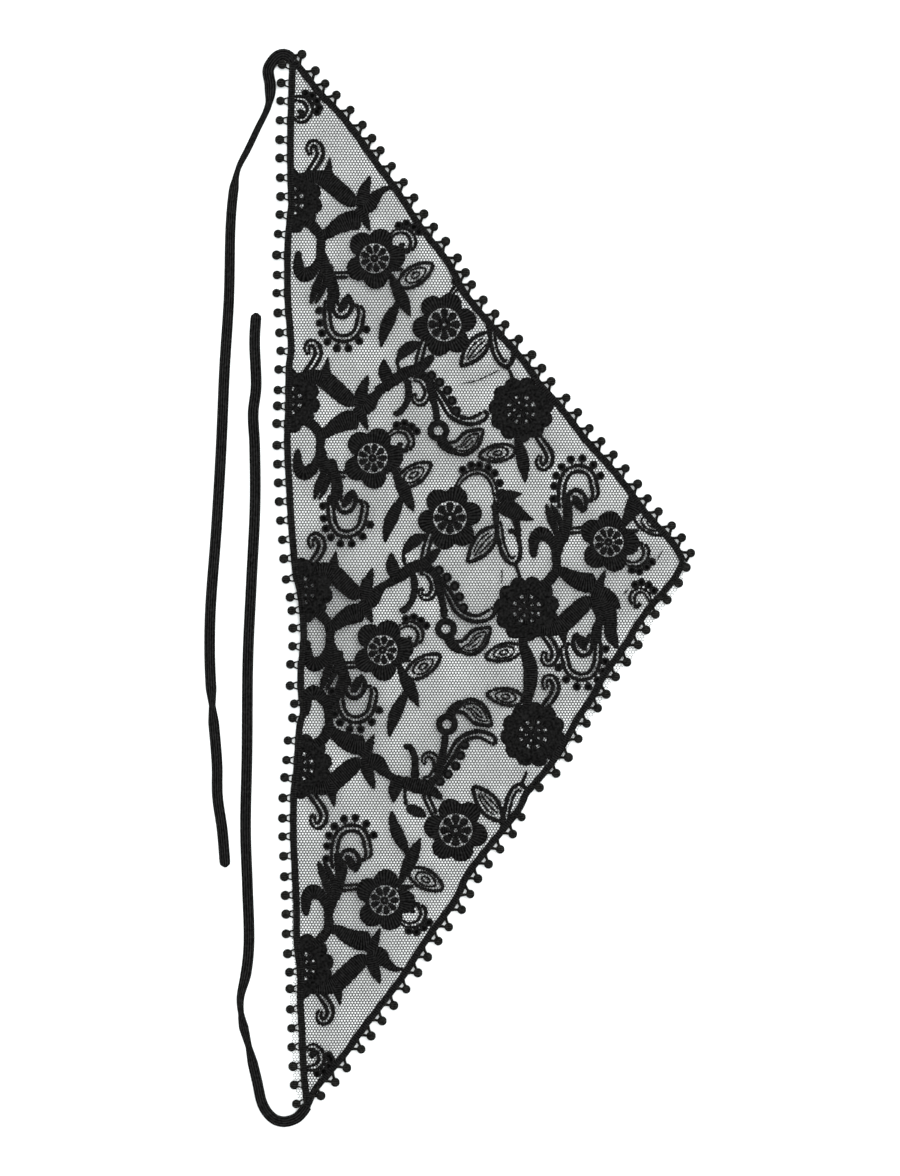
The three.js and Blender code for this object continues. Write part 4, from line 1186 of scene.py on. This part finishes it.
def tie_body(line, widths, width):
    """A flat ribbed tie with rounded ends, narrower and thicker where it rolls over."""
    onward = (line[-1] - line[-2]) * np.arange(1, round(TIE_END_PAST / TIE_STEP) + 1)[:, None]
    line = np.concatenate([line, line[-1] + onward])
    stops = np.arange(len(line)) * TIE_STEP
    share = TIE_SPREAD * from_table(widths, ORIGIN_DOWN - line[:, 1])
    end = np.clip(1 - (stops[-1] - stops) / (width * TIE_END_SHARE), 0, TIE_END_POINT)
    share_end = np.sqrt(1 - end**2)
    half = width / 2 * share * share_end
    wall = (TIE_WALL + ROLLED_WALL * np.maximum(1 - share, 0)) / 2
    across = np.linspace(-1, 1, TIE_RIBS * RIB_POINTS + 1)
    ribs = RIB_DEPTH * np.cos(across * math.pi * TIE_RIBS)
    rounded = np.sqrt(np.clip(1 - np.abs(across) ** EDGE_ROUNDNESS, 0, 1))
    top = (wall[:, None] + ribs * share[:, None] * RIB_STANDS) * rounded
    upper = np.stack([half[:, None] * across, top], -1)
    lower = np.stack([half[:, None] * across[::-1], -wall[:, None] * rounded[::-1]], -1)[:, 1:-1]
    section = np.concatenate([upper, lower], 1)
    left = leftwards(line[:, :2])
    spots = line[:, None, :2] + left[:, None] * section[..., :1]
    heights = line[:, 2:3] + section[..., 1]
    rings = np.concatenate([spots, heights[..., None]], -1)[:, ::-1]
    rings[..., 2] = np.maximum(rings[..., 2], TIE_CLEARANCE)
    body = Body()
    body.add_rings(rings, stops, section[0, ::-1, 0])
    return body


# ------------------------------------------------------------------------------------- materials


def colour(code):
    """An sRGB hex value as linear RGBA."""
    parts = [int(code[start : start + 2], 16) / 255 for start in (1, 3, 5)]
    linear = [part / 12.92 if part <= 0.04045 else ((part + 0.055) / 1.055) ** 2.4 for part in parts]
    return (*linear, 1.0)


def add_node(tree, kind, inputs=None, **settings):
    """Adds a node with its settings. An input is given a value, or a socket to be linked to."""
    made = tree.nodes.new(kind)
    for name, value in settings.items():
        setattr(made, name, value)
    for name, value in (inputs or {}).items():
        if isinstance(value, bpy.types.NodeSocket):
            tree.links.new(value, made.inputs[name])
        else:
            made.inputs[name].default_value = value
    return made


def new_material(name):
    """A material with an empty node tree and its output."""
    material = bpy.data.materials.new(name)
    material.use_nodes = True
    material.node_tree.nodes.clear()
    return material, material.node_tree


def finish_material(tree, shader):
    """Links a shader to the material's output."""
    add_node(tree, "ShaderNodeOutputMaterial", {"Surface": shader.outputs[0]})


PAINTED_FLECK_SCALE = 420  # painted highlights: the colour is lighter in random flecks about 2.4 mm across, as if light caught threads
RIDGE_IN_PAINTED_FLECKS = 0.22  # how strongly the painted light and shade follow the ridges: lighter crests, darker hollows
# Heights over which the colour goes from painted shade to painted highlight
PAINTED_FLECK_RANGE = (0.3, 0.85)
PAINTED_SHADE_AND_HIGHLIGHT = (0.2, 4.4)  # times the thread's own colour, in painted shade and in painted highlight
RIDGE_STRENGTH = 0.6
THREAD_GLOSS = 0.006  # black dye leaves hardly any mirror-like shine


def thread_material(name, shade, spacing, depth, roughness, sheen, wound=False):
    """Thread or tape: nearly black, with fine ridges, and painted light and shade in its colour.

    The ridges lie across the line of a body, or along it on a wound one, and their spacing and depth
    are in millimetres.
    """
    material, tree = new_material(name)
    threads = add_node(tree, "ShaderNodeUVMap", uv_map="threads")
    split = add_node(tree, "ShaderNodeSeparateXYZ", {0: threads.outputs[0]})
    run = split.outputs[1] if wound else split.outputs[0]
    ridge = add_node(tree, "ShaderNodeMath", {0: run, 1: math.tau / spacing}, operation="MULTIPLY")
    wave = add_node(tree, "ShaderNodeMath", {0: ridge.outputs[0]}, operation="SINE")
    where = add_node(tree, "ShaderNodeTexCoord")
    speckle = add_node(
        tree, "ShaderNodeTexNoise", {"Vector": where.outputs["Object"], "Scale": PAINTED_FLECK_SCALE, "Detail": 2},
    )
    height = add_node(
        tree, "ShaderNodeMath", {0: wave.outputs[0], 1: RIDGE_IN_PAINTED_FLECKS, 2: speckle.outputs[0]},
        operation="MULTIPLY_ADD",
    )
    bump = add_node(tree, "ShaderNodeBump", {
        "Height": height.outputs[0], "Strength": RIDGE_STRENGTH, "Distance": depth * MM,
    })
    # Painted light and shade: the base colour is darker in the hollows, lighter on the crests and in random
    # flecks
    low, high = [tuple(part * share for part in shade[:3]) + (1,) for share in PAINTED_SHADE_AND_HIGHLIGHT]
    painted_light_share = add_node(tree, "ShaderNodeMapRange", {
        "Value": height.outputs[0], "From Min": PAINTED_FLECK_RANGE[0], "From Max": PAINTED_FLECK_RANGE[1],
        "To Min": 0.0, "To Max": 1.0,
    })
    painted_light_colour = add_node(tree, "ShaderNodeMixRGB", {0: painted_light_share.outputs[0], 1: low, 2: high})
    shader = add_node(tree, "ShaderNodeBsdfPrincipled", {
        "Base Color": painted_light_colour.outputs[0], "Roughness": roughness, "IOR": 1.5,
        "Specular IOR Level": THREAD_GLOSS, "Sheen Weight": sheen, "Sheen Roughness": 0.5,
        "Normal": bump.outputs[0],
    })
    finish_material(tree, shader)
    return material


UNEVEN_COVER = 0.16  # the net lies closer in some places than in others
UNEVEN_SCALE = 22  # in patches about 45 mm across
UNEVEN_RANGE = (0.3, 0.7)
MARGIN_COVER = -1.0  # past the binding the net is a single open layer
MARGIN_STARTS = (2.0, 4.0)  # how far past the edge the cover changes, under the binding
THREAD_SHADE = 0.82  # a real thread is finer than the one drawn, so light gets past it


def net_material(name, shade, across, down, cover):
    """Nylon bobbin net: a fine black staggered mesh, seen once from either side.

    Real cells are about 2 mm wide. They are drawn coarser, across by half of down, so that they show.
    """
    material, tree = new_material(name)
    where = add_node(tree, "ShaderNodeTexCoord")
    waves = []
    for x, y in ((1 / across, 1 / down), (1 / across, -1 / down), (0, 2 / down)):
        along = add_node(
            tree, "ShaderNodeVectorMath",
            {0: where.outputs["Object"], 1: (math.tau * x / MM, math.tau * y / MM, 0)},
            operation="DOT_PRODUCT",
        )
        waves.append(add_node(tree, "ShaderNodeMath", {0: along.outputs["Value"]}, operation="COSINE"))
    pair = add_node(tree, "ShaderNodeMath", {0: waves[0].outputs[0], 1: waves[1].outputs[0]}, operation="ADD")
    web = add_node(tree, "ShaderNodeMath", {0: pair.outputs[0], 1: waves[2].outputs[0]}, operation="ADD")
    margin = add_node(tree, "ShaderNodeUVMap", uv_map="threads")
    past = add_node(tree, "ShaderNodeSeparateXYZ", {0: margin.outputs[0]})
    cloudy = add_node(
        tree, "ShaderNodeTexNoise", {"Vector": where.outputs["Object"], "Scale": UNEVEN_SCALE, "Detail": 3}
    )
    uneven = add_node(tree, "ShaderNodeMapRange", {
        "Value": cloudy.outputs[0], "From Min": UNEVEN_RANGE[0], "From Max": UNEVEN_RANGE[1],
        "To Min": cover - UNEVEN_COVER, "To Max": cover + UNEVEN_COVER,
    })
    level = add_node(tree, "ShaderNodeMapRange", {
        "Value": past.outputs[0], "From Min": MARGIN_STARTS[0], "From Max": MARGIN_STARTS[1],
        "To Min": uneven.outputs[0], "To Max": MARGIN_COVER,
    })
    thread = add_node(
        tree, "ShaderNodeMath", {0: web.outputs[0], 1: level.outputs[0]}, operation="LESS_THAN"
    )
    seen = add_node(tree, "ShaderNodeNewGeometry")
    front = add_node(tree, "ShaderNodeMath", {0: 1.0, 1: seen.outputs["Backfacing"]}, operation="SUBTRACT")
    fine = add_node(tree, "ShaderNodeMath", {0: thread.outputs[0], 1: THREAD_SHADE}, operation="MULTIPLY")
    alpha = add_node(
        tree, "ShaderNodeMath", {0: fine.outputs[0], 1: front.outputs[0]}, operation="MULTIPLY"
    )
    shader = add_node(tree, "ShaderNodeBsdfPrincipled", {
        "Base Color": shade, "Roughness": 0.6, "IOR": 1.53, "Specular IOR Level": 0.1,
        "Sheen Weight": 0.01, "Alpha": alpha.outputs[0],
    })
    finish_material(tree, shader)
    return material


def floor_material(name, shade):
    """Matt white card."""
    material, tree = new_material(name)
    shader = add_node(tree, "ShaderNodeBsdfPrincipled", {
        "Base Color": shade, "Roughness": 0.9, "Specular IOR Level": 0.1,
    })
    finish_material(tree, shader)
    return material


# --------------------------------------------------------------------------- settings and tools


class SarongSettings(bpy.types.PropertyGroup):
    """Sizes and colours that a maker would change."""

    net_across: bpy.props.FloatProperty(
        name="Net pitch across", description="Width of one cell of the net. Real tulle is finer, and "
        "this is as coarse as it needs to be to show", default=0.00315, unit="LENGTH",
    )
    net_down: bpy.props.FloatProperty(
        name="Net pitch down", description="Height of two staggered rows of the net",
        default=0.00545, unit="LENGTH",
    )
    net_cover: bpy.props.FloatProperty(
        name="Net level", description="Level of the net pattern below which it is thread; higher is darker",
        default=-0.01,
    )
    embroidery_height: bpy.props.FloatProperty(
        name="Embroidery height", description="How far the satin stitch stands over the net",
        default=0.0012, unit="LENGTH",
    )
    dot_radius: bpy.props.FloatProperty(
        name="Dot radius", description="Radius of an embroidered dot", default=0.0044, unit="LENGTH",
    )
    binding_width: bpy.props.FloatProperty(
        name="Binding width", description="Width of the folded tape", default=0.0072, unit="LENGTH",
    )
    ball_radius: bpy.props.FloatProperty(
        name="Ball radius", description="Radius of a wound ball", default=0.0048, unit="LENGTH",
    )
    tie_width: bpy.props.FloatProperty(
        name="Tie width", description="Width of the flat ties", default=0.0102, unit="LENGTH",
    )
    embroidery_colour: bpy.props.FloatVectorProperty(
        name="Embroidery", description="Rayon thread", default=colour("#0b0b0b"), size=4, subtype="COLOR",
    )
    net_colour: bpy.props.FloatVectorProperty(
        name="Net", description="Nylon tulle", default=colour("#161616"), size=4, subtype="COLOR",
    )
    tape_colour: bpy.props.FloatVectorProperty(
        name="Tape", description="Bindings", default=colour("#0d0d0d"), size=4, subtype="COLOR",
    )
    ball_colour: bpy.props.FloatVectorProperty(
        name="Balls", description="Cotton thread of the ball trim", default=colour("#111110"), size=4,
        subtype="COLOR",
    )
    tie_colour: bpy.props.FloatVectorProperty(
        name="Ties", description="Flat ribbed ties", default=colour("#0d0d0d"), size=4, subtype="COLOR",
    )
    floor_colour: bpy.props.FloatVectorProperty(
        name="Floor", description="The white surface", default=colour("#f2f6f6"), size=4, subtype="COLOR",
    )


VIEW_MIDDLE = (164.55, 553.85)  # out and down
VIEW_HEIGHT = 1.2348  # of what the camera sees, in metres
LENS = 85  # millimetres, as is the sensor
SENSOR_HEIGHT = 36
FLOOR_SIZE = 8
FLOOR_LEVEL = -0.0002  # just under the surface that the cloth lies on
# Name, place and size in metres, power in watts
LIGHTS = (
    ("key", (1.1, 1.3, 4.4), 4.5, 215),
)
WORLD_LIGHT = 1.1


class SARONG_OT_stage(bpy.types.Operator):
    """White floor, soft studio light from the upper right, and the camera straight above"""

    bl_idname = "sarong.stage"
    bl_label = "Camera, light and floor"

    def execute(self, context):
        settings = context.scene.sarong
        scene = context.scene
        lens = bpy.data.cameras.new("camera")
        lens.lens, lens.sensor_fit, lens.sensor_height = LENS, "VERTICAL", SENSOR_HEIGHT
        camera = bpy.data.objects.new("camera", lens)
        middle = plan(*VIEW_MIDDLE) * MM
        camera.location = (*middle, VIEW_HEIGHT * lens.lens / lens.sensor_height)
        scene.collection.objects.link(camera)
        scene.camera = camera
        bpy.ops.mesh.primitive_plane_add(size=FLOOR_SIZE, location=(0, 0, FLOOR_LEVEL))
        floor = context.object
        floor.name = "floor"
        floor.data.materials.append(floor_material("white_card", settings.floor_colour))
        for name, place, size, power in LIGHTS:
            lamp = bpy.data.lights.new(name, "AREA")
            lamp.size, lamp.energy = size, power
            lit = bpy.data.objects.new(name, lamp)
            lit.location = place
            lit.rotation_euler = (-lit.location).to_track_quat("-Z", "Y").to_euler()
            scene.collection.objects.link(lit)
        world = bpy.data.worlds.new("studio")
        world.use_nodes = True
        world.node_tree.nodes["Background"].inputs["Color"].default_value = (1, 1, 1, 1)
        world.node_tree.nodes["Background"].inputs["Strength"].default_value = WORLD_LIGHT
        scene.world = world
        scene.view_settings.view_transform = "Standard"
        return {"FINISHED"}


class SARONG_OT_ties(bpy.types.Operator):
    """The two flat ribbed ties"""

    bl_idname = "sarong.ties"
    bl_label = "Ties"

    def execute(self, context):
        settings = context.scene.sarong
        # Ribbed polyester tape: dark, with four ribs along it, each with a thin dull highlight that the lamps
        # light and that is also painted lighter on their crests
        material = thread_material(
            "ribbed_tape", settings.tie_colour, settings.tie_width / MM / TIE_RIBS, 0.3, 0.65, 0.003,
            wound=True,
        )
        routes = (
            ("upper_tie", UPPER_TIE_ROUTE, UPPER_TIE_WIDTHS),
            ("lower_tie", LOWER_TIE_ROUTE, LOWER_TIE_WIDTHS),
        )
        for name, route, widths in routes:
            line = tie_line(route)
            piece = tie_body(line, widths, settings.tie_width / MM).make(name + "_tape", material, "tie")
            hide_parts(name)
        return {"FINISHED"}


class SARONG_OT_net(bpy.types.Operator):
    """The tulle triangle"""

    bl_idname = "sarong.net"
    bl_label = "Tulle"

    def execute(self, context):
        settings = context.scene.sarong
        material = net_material(
            "nylon_tulle", settings.net_colour, settings.net_across / MM, settings.net_down / MM,
            settings.net_cover,
        )
        piece = net_body().make("tulle", material, "tulle")
        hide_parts("lace_panel")
        return {"FINISHED"}


class SARONG_OT_embroidery(bpy.types.Operator):
    """Satin-stitch flowers, leaves, scrolls and dots on the tulle"""

    bl_idname = "sarong.embroidery"
    bl_label = "Embroidery"

    def execute(self, context):
        settings = context.scene.sarong
        # Rayon satin stitch: dark threads whose padded rows show soft streaks of light, painted into the
        # colour as lighter crests and flecks. They lie 0.4 mm apart and are drawn 2.4 mm apart, so that they
        # show.
        material = thread_material("rayon_satin_stitch", settings.embroidery_colour, 2.4, 0.5, 0.6, 0.002)
        height = settings.embroidery_height / MM
        groups = (
            ("embroidered_flowers", lambda body: embroider_flowers(body, height)),
            ("embroidered_leaves", lambda body: embroider_leaves(body, height)),
            ("embroidered_lines", lambda body: embroider_lines(body, height)),
            ("embroidered_dots", lambda body: embroider_dots(body, settings.dot_radius / MM, height)),
            ("creases", raise_creases),
        )
        for name, embroider in groups:
            body = Body()
            embroider(body)
            body.make(name, material, "tulle")
        return {"FINISHED"}


class SARONG_OT_bindings(bpy.types.Operator):
    """Folded tape round the three edges"""

    bl_idname = "sarong.bindings"
    bl_label = "Bindings"

    def execute(self, context):
        settings = context.scene.sarong
        # Woven polyester tape, folded and stitched: matt black with a fine cross grain, which is
        # 0.5 mm in the real tape and drawn 2.4 mm so that it shows
        # Painted light and shade: the tape's colour is lighter on the grain's crests and in flecks, darker in
        # its hollows
        material = thread_material("folded_tape", settings.tape_colour, 2.4, 0.25, 0.7, 0.003)
        # Each with its first and last level, and how far it lies under the one that it meets
        edges = (
            ("waist_binding", waist, 0.5, WAIST_LENGTH - 0.5, 0.0),
            ("upper_hem_binding", upper_hem, 1, POINT_DOWN + 2.5, 0.12),
            ("lower_hem_binding", lower_hem, POINT_DOWN - 1, WAIST_LENGTH, 0.06),
        )
        for name, edge, first, last, sink in edges:
            body = binding_body(edge, first, last, settings.binding_width / MM, sink)
            body.make(name + "_tape", material, "tape")
            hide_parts(name)
        return {"FINISHED"}


class SARONG_OT_balls(bpy.types.Operator):
    """Thread-wound balls on looped legs along the three edges"""

    bl_idname = "sarong.balls"
    bl_label = "Ball trim"

    def execute(self, context):
        settings = context.scene.sarong
        # Cotton thread wound over a bead: matt and nearly black. Its ridges are 0.7 mm apart and
        # drawn 2.2 mm apart, so that they show.
        # Painted light and shade: the thread's colour is lighter on the ridges' crests and in flecks, darker
        # in their hollows
        material = thread_material("wound_cotton", settings.ball_colour, 2.2, 0.3, 0.8, 0.004, wound=True)
        trims = (
            ("waist_ball_trim", waist, WAIST_BALLS, STRAIGHT_LEG),
            ("upper_hem_ball_trim", upper_hem, UPPER_HEM_BALLS, SPLAYED_LEG),
            ("lower_hem_ball_trim", lower_hem, LOWER_HEM_BALLS, SPLAYED_LEG),
        )
        for name, edge, balls, leg in trims:
            body = trim_body(edge, balls, leg, settings.ball_radius / MM)
            body.make(name + "_balls", material, "balls")
            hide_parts(name)
        return {"FINISHED"}


class SARONG_PT_panel(bpy.types.Panel):
    """Lists the sarong's settings and pieces"""

    bl_idname = "SARONG_PT_panel"
    bl_label = "Lace sarong"
    bl_space_type = "VIEW_3D"
    bl_region_type = "UI"
    bl_category = "Lace sarong"

    def draw(self, context):
        for name in SarongSettings.__annotations__:
            self.layout.prop(context.scene.sarong, name)
        for operator in OPERATORS:
            self.layout.operator(operator.bl_idname)


OPERATORS = (
    SARONG_OT_stage, SARONG_OT_ties, SARONG_OT_net, SARONG_OT_embroidery, SARONG_OT_bindings,
    SARONG_OT_balls,
)


def register():
    """Adds the settings, the operators and the panel to Blender."""
    for each in (SarongSettings, *OPERATORS, SARONG_PT_panel):
        bpy.utils.register_class(each)
    bpy.types.Scene.sarong = bpy.props.PointerProperty(type=SarongSettings)


def unregister():
    """Takes them away again."""
    del bpy.types.Scene.sarong
    for each in reversed((SarongSettings, *OPERATORS, SARONG_PT_panel)):
        bpy.utils.unregister_class(each)


def main():
    """Builds the sarong on the frame."""
    register()
    bpy.ops.sarong.stage()
    bpy.ops.sarong.ties()
    bpy.ops.sarong.net()
    bpy.ops.sarong.embroidery()
    bpy.ops.sarong.bindings()
    bpy.ops.sarong.balls()


if __name__ == "__main__":
    main()
